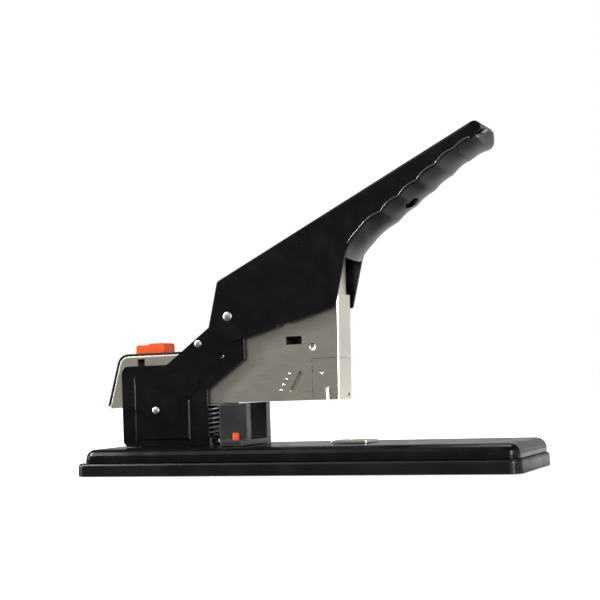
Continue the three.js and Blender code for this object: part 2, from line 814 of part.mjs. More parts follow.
// Pins across the frames, with a domed head at each end
function rivetedPin(x, z, outerHalf, headRadius) {
  const seat = outerHalf + touchGap;
  const end = seat + pinHeadHeight;
  const half = [
    [0, end], [headRadius / 2, end - pinHeadHeight / 8], [headRadius * 0.85, end - pinHeadHeight / 2],
    [headRadius, seat], [pinRadius, seat],
  ];
  const mirrored = half.map(([r, y]) => [r, -y]);
  return turnedAcross(x, z, [...mirrored, ...half.reverse()]);
}
const magazinePin = rivetedPin(magazinePivotX, magazinePivotZ, framePanelOuterHalf, pinHeadRadius);
add("magazine_pivot_pin", geometryOf(magazinePin), "nickel");
const stopPin = rivetedPin(stopPinX, stopPinZ, frameOuterHalf, pinHeadRadius);
add("magazine_stop_pin", geometryOf(stopPin), "nickel");
const handlePin = rivetedPin(handlePivotX, handlePivotZ, handleHalfWidth, handlePinHeadRadius);
add("handle_pivot_pin", geometryOf(handlePin), "nickel");

// Return spring and its seat on the base
const seatBottom = baseTop + touchGap;
const seatTop = seatBottom + seatThickness;
add("spring_seat", geometryOf(turned(returnSpringX, 0, [
  [0, seatBottom], [seatRadius, seatBottom], [seatRadius, seatTop],
  [seatSpigotRadius, seatTop], [seatSpigotRadius, seatTop + seatSpigotHeight],
  [0, seatTop + seatSpigotHeight],
])), "steel");
const returnSpring = coil(
  returnSpringX, 0, seatTop + touchGap, springPlateBottom - touchGap,
  returnSpringRadius, returnSpringWire, returnSpringTurns,
);
add("return_spring", returnSpring.geometry, "steel");

// Magazine housing: an inverted channel with its front bent from the same sheet
function housingOutline(inset, bottom) {
  const rearTopX = magazineRearX + magazineRearLean;
  const top = magazineRearTop - inset;
  const lean = Math.atan2(magazineRearLean, magazineRearRise);
  const radius = magazineRearRadius - inset;
  const cornerX = rearTopX + magazineRearRadius;
  const cornerZ = magazineRearTop - magazineRearRadius;
  const leanDegrees = THREE.MathUtils.radToDeg(lean);
  const frontTop = magazineFrontTop - inset;
  const rearLow = bottom - magazineRearDrop;
  return [
    [magazineRearX + inset / Math.cos(lean) + (rearLow - magazineBottom) * Math.tan(lean), rearLow],
    [springPlateRearX - springPlateLip, bottom],
    [frontX(bottom) - inset, bottom],
    [frontX(frontTop) - inset, frontTop],
    [magazineHumpX, magazineBottom + magazineHumpRise - inset],
    [magazineHumpStartX, top],
    ...arc(cornerX, cornerZ, radius, 90, 180 - leanDegrees),
  ];
}

// The slanted slot that shows how many staples are left, and the row of raised dots beside it
function gaugeSlot() {
  const low = [gaugeSlotLowX, magazineBottom + gaugeSlotLowRise];
  const high = [gaugeSlotHighX, magazineBottom + gaugeSlotHighRise];
  const slant = THREE.MathUtils.radToDeg(Math.atan2(high[1] - low[1], high[0] - low[0]));
  const slot = slab([
    ...arc(low[0], low[1], gaugeSlotRadius, slant + 90, slant + 270, arcSteps / 2),
    ...arc(high[0], high[1], gaugeSlotRadius, slant - 90, slant + 90, arcSteps / 2),
  ], -frameOuterHalf, frameOuterHalf);
  const dotSides = smallSides / 2;
  const dotShares = [0.05, 0.37, 0.69, 1];
  const dots = dotShares.flatMap((share) => {
    const x = low[0] + (high[0] - low[0]) * share - gaugeDotOffset;
    const z = low[1] + (high[1] - low[1]) * share;
    const ring = (radius) => arc(x, z, radius, 0, 360 - 360 / dotSides, dotSides - 1);
    return bothSides((side) => loftAcross([
      { points: ring(gaugeDotRadius), y: side * (magazineHalfWidth - magazineWall / 2) },
      { points: ring(gaugeDotRadius), y: side * magazineHalfWidth },
      { points: ring(gaugeDotRadius / 2), y: side * (magazineHalfWidth + gaugeDotProud) },
    ]));
  });
  return { slot, dots };
}

const innerFold = Math.max(magazineFoldRadius - magazineWall, touchGap);
const noseRearX = magazineFrontX - noseLength;
const noseTop = magazineBottom + noseRise;
const buttonFrontX = buttonRearX + buttonLength;
const driverSpringX = magazineFrontX - driverSpringBack;
function magazineHousing() {
  const outside = foldedSlab(
    (inset) => housingOutline(inset, magazineBottom), magazineHalfWidth, magazineFoldRadius,
  );
  const innerHalf = magazineHalfWidth - magazineWall;
  const inside = foldedSlab(
    (inset) => housingOutline(magazineWall + inset, magazineBottom - cutOverrun), innerHalf, innerFold,
  );
  const ear = [
    [magazinePivotX - pivotEarHalfLength, magazineBottom + pivotEarHalfLength],
    ...arc(magazinePivotX, magazinePivotZ, pivotEarHalfLength, 180, 360),
    [magazinePivotX + pivotEarHalfLength, magazineBottom + pivotEarHalfLength],
  ];
  const ears = cut(slab(ear, -magazineHalfWidth, magazineHalfWidth), slab(ear, -innerHalf, innerHalf));
  const pivotBore = crossPin(
    magazinePivotX, magazinePivotZ, pinRadius + touchGap, -frameOuterHalf, frameOuterHalf,
  );
  const noseCut = block(
    noseRearX - touchGap, magazineFrontX + cutOverrun, -magazineHalfWidth - cutOverrun,
    magazineHalfWidth + cutOverrun, magazineBottom - cutOverrun, noseTop + touchGap,
  );
  const windowTop = magazineRearTop - sideWindowDrop;
  const sideWindow = block(
    sideWindowX - sideWindowLength / 2, sideWindowX + sideWindowLength / 2, -frameOuterHalf, frameOuterHalf,
    windowTop - sideWindowHeight, windowTop,
  );
  const coverHoleLow = magazineBottom + coverHoleRise - coverHoleHeight / 2;
  const coverHole = block(
    coverHoleX - coverHoleLength / 2, coverHoleX + coverHoleLength / 2, -frameOuterHalf, 0,
    coverHoleLow, coverHoleLow + coverHoleHeight,
  );
  const gauge = gaugeSlot();
  const dents = bothSides((side) => dimple(
    sideDimpleX, side * magazineHalfWidth, magazineBottom + sideDimpleRise,
    sideDimpleRadius, sideDimpleDepth,
  ));
  const buttonHole = block(
    buttonRearX - touchGap, buttonFrontX + touchGap, -buttonHalfWidth - touchGap, buttonHalfWidth + touchGap,
    magazineRearTop - magazineWall - cutOverrun, magazineRearTop + cutOverrun,
  );
  const headBack = driverBackInset + touchGap + driverHeadLegThickness;
  const slotBack = frontX(magazineFrontTop) - headBack - runningGap;
  const slotFront = frontX(magazineFrontTop - cutOverrun) - magazineWall;
  const driverSlot = block(
    slotBack, slotFront, -driverHalfWidth - runningGap, driverHalfWidth + runningGap,
    magazineFrontTop - cutOverrun, magazineFrontTop + cutOverrun,
  );
  const springHole = upright(
    driverSpringX, 0, driverSpringRadius + driverSpringWire + runningGap,
    magazineBottom + magazineHumpRise, magazineFrontTop + cutOverrun,
  );
  const hollow = cut(outside, inside);
  const openings = [pivotBore, noseCut, sideWindow, coverHole, buttonHole, driverSlot, springHole];
  return join(cut(join(hollow, ears), ...openings, gauge.slot, ...dents), ...gauge.dots);
}
add("magazine_housing", geometryOf(magazineHousing()), "nickel");

// Black strip over the rear end of the magazine
function rearCover() {
  const lean = Math.atan2(magazineRearLean, magazineRearRise);
  const leanDegrees = THREE.MathUtils.radToDeg(lean);
  const rearTopX = magazineRearX + magazineRearLean;
  const cornerX = rearTopX + magazineRearRadius;
  const cornerZ = magazineRearTop - magazineRearRadius;
  const edge = (offset) => [
    [rearCoverFrontX, magazineRearTop + offset],
    ...arc(cornerX, cornerZ, magazineRearRadius + offset, 90, 180 - leanDegrees),
    [magazineRearX - offset / Math.cos(lean), magazineBottom],
  ];
  const outline = [...edge(touchGap + rearCoverThickness), ...edge(touchGap).reverse()];
  const strip = slab(outline, -magazineHalfWidth, magazineHalfWidth);
  const opening = block(
    buttonRearX - touchGap, buttonFrontX + touchGap, -buttonHalfWidth - touchGap, buttonHalfWidth + touchGap,
    magazineRearTop - cutOverrun, magazineRearTop + cutOverrun,
  );
  return cut(strip, opening);
}
add("rear_cover", geometryOf(rearCover()), "blackPlastic");

// Plate under the magazine that the return spring lifts, with a small lip in front
function springPlate() {
  const lipX = springPlateFrontX + springPlateLip;
  const outline = [
    [springPlateRearX, springPlateBottom],
    [springPlateFrontX, springPlateBottom],
    [lipX, springPlateBottom - springPlateLipDrop],
    [lipX, springPlateBottom - springPlateLipDrop + springPlateThickness],
    [springPlateFrontX, springPlateTop],
    [springPlateRearX, springPlateTop],
  ];
  return slab(outline, -magazineHalfWidth, magazineHalfWidth);
}
add("spring_plate", geometryOf(springPlate()), "nickel");

// Shelf inside the housing and the driver spring on it
const shelfBottom = magazineBottom + shelfRise;
const shelfTop = shelfBottom + shelfThickness;
add("spring_shelf", geometryOf(block(
  driverSpringX - shelfLength / 2, driverSpringX + shelfLength / 2,
  -magazineHalfWidth + magazineWall + touchGap, magazineHalfWidth - magazineWall - touchGap,
  shelfBottom, shelfTop,
)), "steel");
const driverHeadBottom = driverTop - driverHeadThickness;
const driverSpring = coil(
  driverSpringX, 0, shelfTop + touchGap, driverHeadBottom - touchGap,
  driverSpringRadius, driverSpringWire, driverSpringTurns,
);
add("driver_spring", driverSpring.geometry, "steel");

// Driver blade, which leans with the front of the magazine, and its head
function leaning(insetFront, insetBack, zFrom, zTo) {
  return [
    [frontX(zFrom) - insetBack, zFrom], [frontX(zFrom) - insetFront, zFrom],
    [frontX(zTo) - insetFront, zTo], [frontX(zTo) - insetBack, zTo],
  ];
}
add("driver_blade", geometryOf(slab(
  leaning(driverFrontInset, driverBackInset, magazineBottom + driverTipRise, driverTop),
  -driverHalfWidth, driverHalfWidth,
)), "nickel");
function driverHead() {
  const front = driverBackInset + touchGap;
  const legBottom = driverTop - driverHeadLegHeight;
  const outline = [
    [frontX(driverTop) - front - driverHeadLength, driverHeadBottom],
    [frontX(driverHeadBottom) - front - driverHeadLegThickness, driverHeadBottom],
    [frontX(legBottom) - front - driverHeadLegThickness, legBottom],
    [frontX(legBottom) - front, legBottom],
    [frontX(driverTop) - front, driverTop],
    [frontX(driverTop) - front - driverHeadLength, driverTop],
  ];
  return slab(outline, -driverHalfWidth, driverHalfWidth);
}
add("driver_head", geometryOf(driverHead()), "steel");

// Release button and the latch hook under it
const buttonTop = magazineRearTop + buttonProud + touchGap;
const buttonBodyBottom = magazineRearTop - magazineWall - buttonBodyDepth;
function releaseButton() {
  const stepX = buttonRearX + buttonStepLength;
  const outline = [
    [buttonRearX, buttonBodyBottom],
    [buttonFrontX, buttonBodyBottom],
    ...arc(buttonFrontX - buttonEndRadius, buttonTop - buttonEndRadius, buttonEndRadius, 0, 90),
    [stepX + buttonStepDrop, buttonTop],
    [stepX, buttonTop - buttonStepDrop],
    [buttonRearX + buttonStepDrop, buttonTop - buttonStepDrop],
    [buttonRearX, buttonTop - 2 * buttonStepDrop],
  ];
  const flange = block(
    buttonRearX - buttonFlangeOverhang, buttonFrontX + buttonFlangeOverhang,
    -buttonHalfWidth, buttonHalfWidth, buttonBodyBottom, buttonBodyBottom + buttonFlangeThickness,
  );
  return join(slab(outline, -buttonHalfWidth, buttonHalfWidth), flange);
}
add("release_button", geometryOf(releaseButton()), "orange");
const latchTop = buttonBodyBottom - touchGap;
const tabWindowTop = drawerBottom + drawerTabHeight - drawerTabBridge;
const latchToothTop = tabWindowTop - touchGap;
const latchBottom = latchToothTop - latchToothHeight;
function latchHook() {
  const stemFrontX = drawerRearX - runningGap;
  const toothRearX = drawerRearX + drawerWall + runningGap;
  return slab([
    [stemFrontX - latchThickness, latchBottom],
    [toothRearX + latchThickness, latchBottom],
    [toothRearX + latchThickness, latchToothTop],
    [toothRearX, latchToothTop],
    [toothRearX, latchBottom + latchThickness],
    [stemFrontX, latchBottom + latchThickness],
    [stemFrontX, latchTop],
    [stemFrontX - latchThickness, latchTop],
  ], -latchHalfWidth, latchHalfWidth);
}
add("latch_hook", geometryOf(latchHook()), "steel");

// Staple drawer: an open channel with a windowed tab behind, where the latch hook reaches through
function drawerChannel() {
  const outside = block(
    drawerRearX, feedFrontX, -drawerHalfWidth, drawerHalfWidth,
    drawerBottom, drawerBottom + drawerWallHeight,
  );
  const innerHalf = drawerHalfWidth - drawerWall;
  const inside = block(
    drawerRearX - cutOverrun, feedFrontX + cutOverrun, -innerHalf, innerHalf,
    drawerFloorTop, drawerBottom + drawerWallHeight + cutOverrun,
  );
  const tab = block(
    drawerRearX, drawerRearX + drawerWall, -drawerHalfWidth, drawerHalfWidth,
    drawerBottom, drawerBottom + drawerTabHeight,
  );
  const windowHalf = latchHalfWidth + runningGap;
  const window = block(
    drawerRearX - cutOverrun, drawerRearX + drawerWall + cutOverrun, -windowHalf, windowHalf,
    latchBottom - buttonTravel - runningGap, tabWindowTop,
  );
  const rodBore = rodAlongX(rodRadius + touchGap, drawerRearX - cutOverrun, drawerRearX + cutOverrun);
  return cut(join(cut(outside, inside), tab), window, rodBore);
}

function rodAlongX(radius, xFrom, xTo) {
  const geometry = new THREE.CylinderGeometry(radius, radius, xTo - xFrom, smallSides);
  geometry.rotateZ(Math.PI / 2);
  geometry.translate((xFrom + xTo) / 2, 0, rodZ);
  return solid(geometry);
}
add("drawer_channel", geometryOf(drawerChannel()), "nickel");

// Nose of the drawer: the lower front of the magazine, bent round both sides
function drawerNose() {
  const outline = (rearX, inset, low, high) => [
    [rearX, low], [frontX(low) - inset, low], [frontX(high) - inset, high], [rearX, high],
  ];
  const outside = foldedSlab(
    (inset) => outline(noseRearX, inset, magazineBottom, noseTop), magazineHalfWidth, magazineFoldRadius,
  );
  const innerHalf = magazineHalfWidth - magazineWall;
  const low = magazineBottom - cutOverrun;
  const high = noseTop + cutOverrun;
  const inside = foldedSlab(
    (inset) => outline(noseRearX - cutOverrun, magazineWall + inset, low, high), innerHalf, innerFold,
  );
  const ribX = magazineFrontX - noseRibInset;
  const ribTop = magazineBottom + noseRibHeight;
  const rearShare = 0.4;
  const frontShare = 1.5;
  const ribPoints = (inset) => {
    const rear = ribX - noseRibWidth / 2 + inset * rearShare;
    const front = ribX + noseRibWidth / 2 - inset * frontShare;
    return [
      [rear, magazineBottom], [front, magazineBottom],
      [front, ribTop - inset], [rear, ribTop - inset],
    ];
  };
  const ribs = bothSides((side) => loftAcross([
    { points: ribPoints(0), y: side * (magazineHalfWidth - magazineWall / 2) },
    { points: ribPoints(0), y: side * magazineHalfWidth },
    { points: ribPoints(noseRibProud), y: side * (magazineHalfWidth + noseRibProud) },
  ]));
  const hole = frontBore(noseHoleRadius, noseHoleOffset, magazineBottom + noseHoleHeight);
  const notch = frontBore(noseNotchRadius, noseNotchOffset, noseTop);
  const dents = bothSides((side) => dimple(
    magazineFrontX - noseDimpleInset, side * magazineHalfWidth, magazineBottom + noseDimpleHeight,
    noseDimpleRadius, noseDimpleDepth,
  ));
  return join(cut(outside, inside, hole, notch, ...dents), ...ribs);
}

function frontBore(radius, y, z) {
  const geometry = new THREE.CylinderGeometry(radius, radius, noseLength / 2, smallSides);
  geometry.rotateZ(Math.PI / 2);
  geometry.translate(magazineFrontX, y, z);
  return solid(geometry);
}
add("drawer_nose", geometryOf(drawerNose()), "nickel");

// Rail, staples and pusher share one section: a cap that straddles the one inside it
function straddle(xFrom, xTo, halfWidth, wall, bottom, top) {
  const outside = block(xFrom, xTo, -halfWidth, halfWidth, bottom, top);
  const innerHalf = halfWidth - wall;
  const inside = block(
    xFrom - cutOverrun, xTo + cutOverrun, -innerHalf, innerHalf, bottom - cutOverrun, top - wall,
  );
  return cut(outside, inside);
}
function stapleRail() {
  const cap = straddle(railRearX, feedFrontX, railHalfWidth, railWall, drawerFloorTop + touchGap, railTop);
  const endWall = block(
    feedFrontX - railEndWall, feedFrontX, -railHalfWidth + railWall / 2, railHalfWidth - railWall / 2,
    drawerFloorTop + touchGap, railTop - railWall / 2,
  );
  const slot = block(
    railRearX + railSlotInset, feedFrontX - railSlotInset, -railSlotHalfWidth, railSlotHalfWidth,
    railTop - railWall - cutOverrun, railTop + cutOverrun,
  );
  const bore = rodAlongX(rodRadius + touchGap, feedFrontX - cutOverrun, feedFrontX + cutOverrun);
  return cut(join(cap, endWall), slot, bore);
}
add("staple_rail", geometryOf(stapleRail()), "steel");
add("staple_strip", geometryOf(straddle(
  stripRearX, feedFrontX, stapleHalfWidth, stapleWire, stapleBottom, stapleTop,
)), "nickel");

// The pusher straddles the rail and grips the rod through the slot in the top of the rail
function pusher() {
  const rearX = pusherFrontX - pusherLength;
  const body = straddle(rearX, pusherFrontX, stapleHalfWidth, stapleWire, stapleBottom, stapleTop);
  const tongueHalf = railSlotHalfWidth - touchGap;
  const tongue = block(rearX, pusherFrontX, -tongueHalf, tongueHalf, rodZ, stapleTop - stapleWire / 2);
  const collar = rodAlongX(pusherCollarRadius, rearX, pusherFrontX);
  const bore = rodAlongX(rodRadius + touchGap, rearX - cutOverrun, pusherFrontX + cutOverrun);
  return cut(join(body, tongue, collar), bore);
}
add("pusher", geometryOf(pusher()), "blackPlastic");
add("pusher_rod", geometryOf(rodAlongX(rodRadius, drawerRearX, feedFrontX)), "steel");
const pusherSpringFrom = drawerRearX + drawerWall + touchGap;
const pusherSpringTo = pusherFrontX - pusherLength - touchGap;
const pusherSpringBore = pusherSpringRadius - pusherSpringWall;
add("pusher_spring", geometryOf(cut(
  rodAlongX(pusherSpringRadius, pusherSpringFrom, pusherSpringTo),
  rodAlongX(pusherSpringBore, pusherSpringFrom - cutOverrun, pusherSpringTo + cutOverrun),
)), "steel");

// Handle: a channel open below, with a scalloped grip closing its front half
const zOf = (height) => baseTop + height;
const tipX = handleTipX;
const tipZ = zOf(handleTipHeight);
const gripTipRadius = handleTipRadius + touchGap + gripRim;
const [gripToe] = arc(tipX, tipZ, gripTipRadius, -75, 0);
const underside = [
  [handleThroatX, zOf(handleThroatHeight)],
  [gripKneeX, zOf(gripKneeHeight)],
  ...Array.from({ length: gripGrooves + 1 }, (_, i) => [
    gripCuspX + ((gripLastCuspX - gripCuspX) * i) / gripGrooves,
    zOf(gripCuspHeight + ((gripLastCuspHeight - gripCuspHeight) * i) / gripGrooves),
  ]),
  gripToe,
];

// Stations along the underside, with a shallow groove between neighbouring cusps. Lead grows from the
// throat, end grows over the last stretch, where the grip comes out to wrap round the tip, and tail at
// its very end, where the steel edge draws back to the tip.
function undersideStations() {
  const stretches = underside.length - 1;
  const steps = arcSteps / 2;
  const endShare = 0.7;
  const tailShare = 0.8;
  return Array.from({ length: stretches * steps + 1 }, (_, k) => {
    const i = Math.min(Math.floor(k / steps), stretches - 1);
    const share = k / steps - i;
    const [x0, z0] = underside[i];
    const [x1, z1] = underside[i + 1];
    const length = Math.hypot(x1 - x0, z1 - z0);
    return {
      place: [x0 + (x1 - x0) * share, z0 + (z1 - z0) * share],
      inward: [-(z1 - z0) / length, (x1 - x0) / length],
      groove: gripGrooveDepth * Math.sin(share * Math.PI),
      lead: Math.min(k / steps / gripLeadStretches, 1),
      end: i + 1 === stretches ? Math.min(share / endShare, 1) : 0,
      tail: i + 1 === stretches ? Math.max((share - tailShare) / (1 - tailShare), 0) : 0,
      wrap: 0,
    };
  });
}

// Stations round the tip, on to where the grip thins out
function wrapStations() {
  return Array.from({ length: arcSteps }, (_, k) => {
    const wrap = (k + 1) / arcSteps;
    const angle = THREE.MathUtils.degToRad(-75 + 71 * wrap);
    const out = [Math.cos(angle), Math.sin(angle)];
    return {
      place: [tipX + out[0] * gripTipRadius, tipZ + out[1] * gripTipRadius],
      inward: [-out[0], -out[1]], groove: 0, lead: 1, end: 1, tail: 1, wrap,
    };
  });
}

function moved({ place, inward }, by) {
  return [place[0] + inward[0] * by, place[1] + inward[1] * by];
}

function between(start, finish, share) {
  return start + (finish - start) * share;
}

const topEnd = [handleTopEndX, zOf(handleTopEndHeight)];
const rearTop = [handleRearTopX, zOf(handleRearTopHeight)];
const topSlope = (topEnd[1] - rearTop[1]) / (topEnd[0] - rearTop[0]);
const topAngle = Math.atan(topSlope);
const topDegrees = THREE.MathUtils.radToDeg(topAngle);
const topAt = (x) => rearTop[1] + (x - rearTop[0]) * topSlope;
const rearLow = [handleRearLowX, zOf(handleRearLowHeight)];
const handleFoot = [handleFootX, zOf(handleFootHeight)];
const rivetPlaces = [
  [rearRivetX, topAt(rearRivetX) - rearRivetDrop],
  [frontRivetX, topAt(frontRivetX) - frontRivetDrop],
];

// The rear of the handle, rounded about its pin from the low rear corner to the chin
function hem() {
  const offset = [rearLow[0] - handlePivotX, rearLow[1] - handlePivotZ];
  const reach = Math.hypot(...offset);
  const start = Math.atan2(offset[1], offset[0]) + 2 * Math.PI;
  const from = start > 2 * Math.PI ? start - 2 * Math.PI : start;
  const to = THREE.MathUtils.degToRad(290);
  return Array.from({ length: arcSteps + 1 }, (_, i) => {
    const share = i / arcSteps;
    const angle = from + (to - from) * share;
    const radius = reach + (handleHemRadius - reach) * share;
    return [handlePivotX + radius * Math.cos(angle), handlePivotZ + radius * Math.sin(angle)];
  });
}

// Tools that round the handle's end in plan, square to its top line
function endCorners(inset, halfWidth) {
  const radius = handleEndRadius - inset;
  const corner = [
    [cutOverrun, halfWidth - radius], [cutOverrun, halfWidth + cutOverrun],
    [-radius, halfWidth + cutOverrun],
    ...arc(-radius, halfWidth - radius, radius, 90, 0),
  ];
  const depth = 4 * handleEndRadius;
  const reach = gripTipRadius + gripCrown / 2 - inset;
  return [corner, corner.map(([u, y]) => [u, -y]).reverse()].map((points) => {
    const shape = new THREE.Shape(points.map(([u, y]) => new THREE.Vector2(u, y)));
    const geometry = new THREE.ExtrudeGeometry(shape, { depth, bevelEnabled: false });
    geometry.translate(0, 0, -depth / 2);
    geometry.rotateY(-topAngle);
    geometry.translate(tipX + reach * Math.cos(topAngle), 0, tipZ + reach * Math.sin(topAngle));
    return solid(geometry);
  });
}

// The back of the handle from its top end to its rear, drawn in by an inset, with a rounded corner
const topNormal = [-Math.sin(topAngle), Math.cos(topAngle)];
const rearLength = Math.hypot(rearTop[0] - rearLow[0], rearTop[1] - rearLow[1]);
const rearNormal = [-(rearTop[1] - rearLow[1]) / rearLength, (rearTop[0] - rearLow[0]) / rearLength];
const rearDegrees = THREE.MathUtils.radToDeg(Math.atan2(rearNormal[1], rearNormal[0]));
function handleBack(inset) {
  const reach = handleRearCornerRadius / (1 + topNormal[0] * rearNormal[0] + topNormal[1] * rearNormal[1]);
  const centreX = rearTop[0] - (topNormal[0] + rearNormal[0]) * reach;
  const centreZ = rearTop[1] - (topNormal[1] + rearNormal[1]) * reach;
  const radius = handleRearCornerRadius - inset;
  return [
    [topEnd[0] - topNormal[0] * inset, topEnd[1] - topNormal[1] * inset],
    ...arc(centreX, centreZ, radius, 90 + topDegrees, rearDegrees, arcSteps / 2),
  ];
}

function handleOutline(inset) {
  const rear = [rearLow[0] - rearNormal[0] * inset, rearLow[1] - rearNormal[1] * inset];
  const edge = undersideStations().map((station) =>
    moved(station, between(handleEdgeInset, gripRim + touchGap, station.tail) + station.groove));
  return [
    rear, ...hem().slice(1), [handleChinX, zOf(handleChinHeight)], handleFoot, ...edge,
    ...arc(tipX, tipZ, handleTipRadius - inset, -75, 90 + topDegrees).slice(1), ...handleBack(inset),
  ];
}

function handleShell() {
  const outside = foldedSlab(handleOutline, handleHalfWidth, handleFoldRadius);
  const innerHalf = handleHalfWidth - handleWall;
  const low = zOf(handleChinHeight) - handleHalfWidth;
  const webLow = zOf(handleWebLowHeight);
  const webLowShare = (webLow - rearLow[1]) / (rearTop[1] - rearLow[1]);
  const hollow = (inset) => [
    [rearLow[0] - cutOverrun, low],
    [tipX + handleTipRadius - handleWebThickness - inset, low],
    ...arc(tipX, tipZ, handleTipRadius - handleWebThickness - inset, 0, 90 + topDegrees),
    ...handleBack(handleWebThickness + inset),
    [rearLow[0] + (rearTop[0] - rearLow[0]) * webLowShare + handleWebThickness + inset, webLow],
    [rearLow[0] - cutOverrun, webLow],
  ];
  const inside = foldedSlab(hollow, innerHalf, Math.max(handleFoldRadius - handleWall, touchGap));
  const cavity = cut(inside, ...endCorners(handleWall, innerHalf));
  const notch = block(
    handleNotchX - handleNotchLength / 2, handleNotchX + handleNotchLength / 2,
    -handleHalfWidth - cutOverrun, handleHalfWidth + cutOverrun,
    zOf(handleNotchHeight) - cutOverrun, zOf(handleNotchHeight),
  );
  const boreHalf = handleHalfWidth + cutOverrun;
  const pinBore = crossPin(handlePivotX, handlePivotZ, pinRadius + touchGap, -boreHalf, boreHalf);
  const rivetBores = rivetPlaces.map(([x, z]) =>
    crossPin(x, z, handleRivetRadius + touchGap, -boreHalf, boreHalf, smallSides));
  return cut(outside, cavity, notch, pinBore, ...rivetBores, ...endCorners(0, handleHalfWidth));
}
add("handle_shell", geometryOf(handleShell()), "blackPaint");

// Grip: scalloped along its length and crowned across it. It lies between the sides of the handle,
// and comes out at the tip to wrap round the end.
function gripInsert() {
  const half = handleHalfWidth - handleWall - touchGap;
  const stations = [...undersideStations(), ...wrapStations()];
  const columns = 2 * arcSteps;
  const fadeStations = arcSteps / 2;
  const crownGrooveShare = 0.6;
  const skin = stations.map((station, i) => {
    const thinned = (gripRim - gripEndWall) * station.wrap;
    const edge = gripSink * station.lead * (1 - station.end) + station.groove + thinned;
    const start = Math.sin((Math.min(i / fadeStations, 1) * Math.PI) / 2);
    const crown = gripCrown * start * Math.cos((station.wrap * Math.PI) / 2) ** 2;
    const middle = station.groove * crownGrooveShare + thinned - crown;
    return Array.from({ length: columns + 1 }, (_, k) => {
      const turn = (k / columns) * Math.PI;
      const [x, z] = moved(station, between(edge, middle, Math.sin(turn) ** 2));
      return [x, -half * Math.cos(turn), z];
    });
  });
  const back = stations.map((station) => {
    const [x, z] = moved(station, between(gripDepth, gripRim, station.end));
    return Array.from({ length: columns + 1 }, (_, k) => [x, -half * Math.cos((k / columns) * Math.PI), z]);
  });
  const kept = undersideStations().filter(({ end }) => end === 0);
  const [{ place, inward }] = kept;
  const before = [place[0] - inward[1] * cutOverrun, place[1] + inward[0] * cutOverrun];
  const hollowed = [{ ...kept[0], place: before }, ...kept];
  const hollow = slab([
    ...hollowed.map((station) => moved(station, gripSink * station.lead + gripWall + station.groove)),
    ...hollowed.map((station) => moved(station, gripDepth + cutOverrun)).reverse(),
  ], -half + gripWall, half - gripWall);
  return cut(gridSolid(skin, back), hollow, ...endCorners(0, handleHalfWidth));
}
add("grip_insert", geometryOf(gripInsert()), "blackPlastic");

// Press lever inside the handle, whose nose pushes the driver head down
function pressLever() {
  const gap = handleWebThickness + leverTopGap;
  const noseZ = zOf(leverNoseRise);
  const backX = handlePivotX - 2 * leverBossRadius;
  const backZ = handlePivotZ - 2 * leverBossRadius;
  const bossFrontX = handlePivotX + leverBossRadius;
  const outline = [
    ...arc(handlePivotX, handlePivotZ, leverBossRadius, 120, 315),
    ...arc(leverNoseX, noseZ, leverNoseRadius, 250, 360),
    [leverFrontX, topAt(leverFrontX) - gap - leverNoseRadius],
    [leverFrontX, topAt(leverFrontX) - gap],
    [bossFrontX, topAt(bossFrontX) - gap],
  ];
  const outside = slab(outline, -leverHalfWidth, leverHalfWidth);
  const innerHalf = leverHalfWidth - leverWall;
  const noseBack = leverNoseX - leverNoseRadius / 2;
  const pocket = slab([
    [backX, backZ], [noseBack, backZ],
    [noseBack, topAt(noseBack) - gap - leverWall], [backX, topAt(backX) - gap - leverWall],
  ], -innerHalf, innerHalf);
  const boreHalf = handleHalfWidth;
  const pinBore = crossPin(handlePivotX, handlePivotZ, pinRadius + touchGap, -boreHalf, boreHalf);
  const rivetBores = rivetPlaces.map(([x, z]) =>
    crossPin(x, z, handleRivetRadius + touchGap, -boreHalf, boreHalf, smallSides));
  return cut(outside, pocket, pinBore, ...rivetBores);
}
add("press_lever", geometryOf(pressLever()), "steel");
rivetPlaces.forEach(([x, z], i) => {
  const rivet = crossPin(x, z, handleRivetRadius, -handleHalfWidth, handleHalfWidth, smallSides);
  add(`handle_rivet_${["rear", "front"][i]}`, geometryOf(rivet), "blackPaint");
});

// Paper guide astride the magazine, locked by a knob whose stud runs in the slot of the shell
const guideBottom = baseTop + touchGap;
function paperGuide() {
  const guideFrontX = guideRearX + guideLength;
  const side = slab([
    [guideRearX, guideBottom], [guideFrontX, guideBottom],
    [guideFrontX, baseTop + guideFrontRise], [guideRearX, baseTop + guideRearRise],
  ], -guideOuterHalf, guideOuterHalf);
  const between = block(
    guideRearX - cutOverrun, guideFrontX + cutOverrun, -guideInnerHalf, guideInnerHalf,
    guideBottom + guideBarThickness, baseTop + guideFrontRise + cutOverrun,
  );
  const tab = block(
    guideRearX + guideLength / 4, guideFrontX, -guideOuterHalf - guideTabOverhang, -guideInnerHalf,
    guideBottom, guideBottom + guideTabThickness,
  );
  const bore = upright(knobX, knobY, knobStudRadius + touchGap, 0, guideBottom + cutOverrun, smallSides);
  return cut(join(cut(side, between), tab), bore);
}
add("paper_guide", geometryOf(paperGuide()), "blackPlastic");
const knobSeat = guideBottom + guideTabThickness + touchGap;
const knobStudEnd = shellInnerTop - touchGap - knobNutHeight;
add("guide_knob", geometryOf(turned(knobX, knobY, [
  [0, knobStudEnd], [knobNutRadius, knobStudEnd], [knobNutRadius, knobStudEnd + knobNutHeight],
  [knobStudRadius, knobStudEnd + knobNutHeight], [knobStudRadius, knobSeat], [knobRadius, knobSeat],
  [knobRadius, knobSeat + knobHeight - knobEdge], [knobRadius - knobEdge, knobSeat + knobHeight],
  [0, knobSeat + knobHeight],
])), "orange");

console.log(`least gap of the return spring ${returnSpring.gap.toFixed(2)} mm`);
console.log(`least gap of the driver spring ${driverSpring.gap.toFixed(2)} mm`);

export default part;
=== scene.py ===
"""Looks of a heavy-duty stapler: glossy black steel, nickel magazine, orange button and knob."""
import json
import math

import bmesh
import bpy
import numpy as np
from mathutils import Matrix, Vector


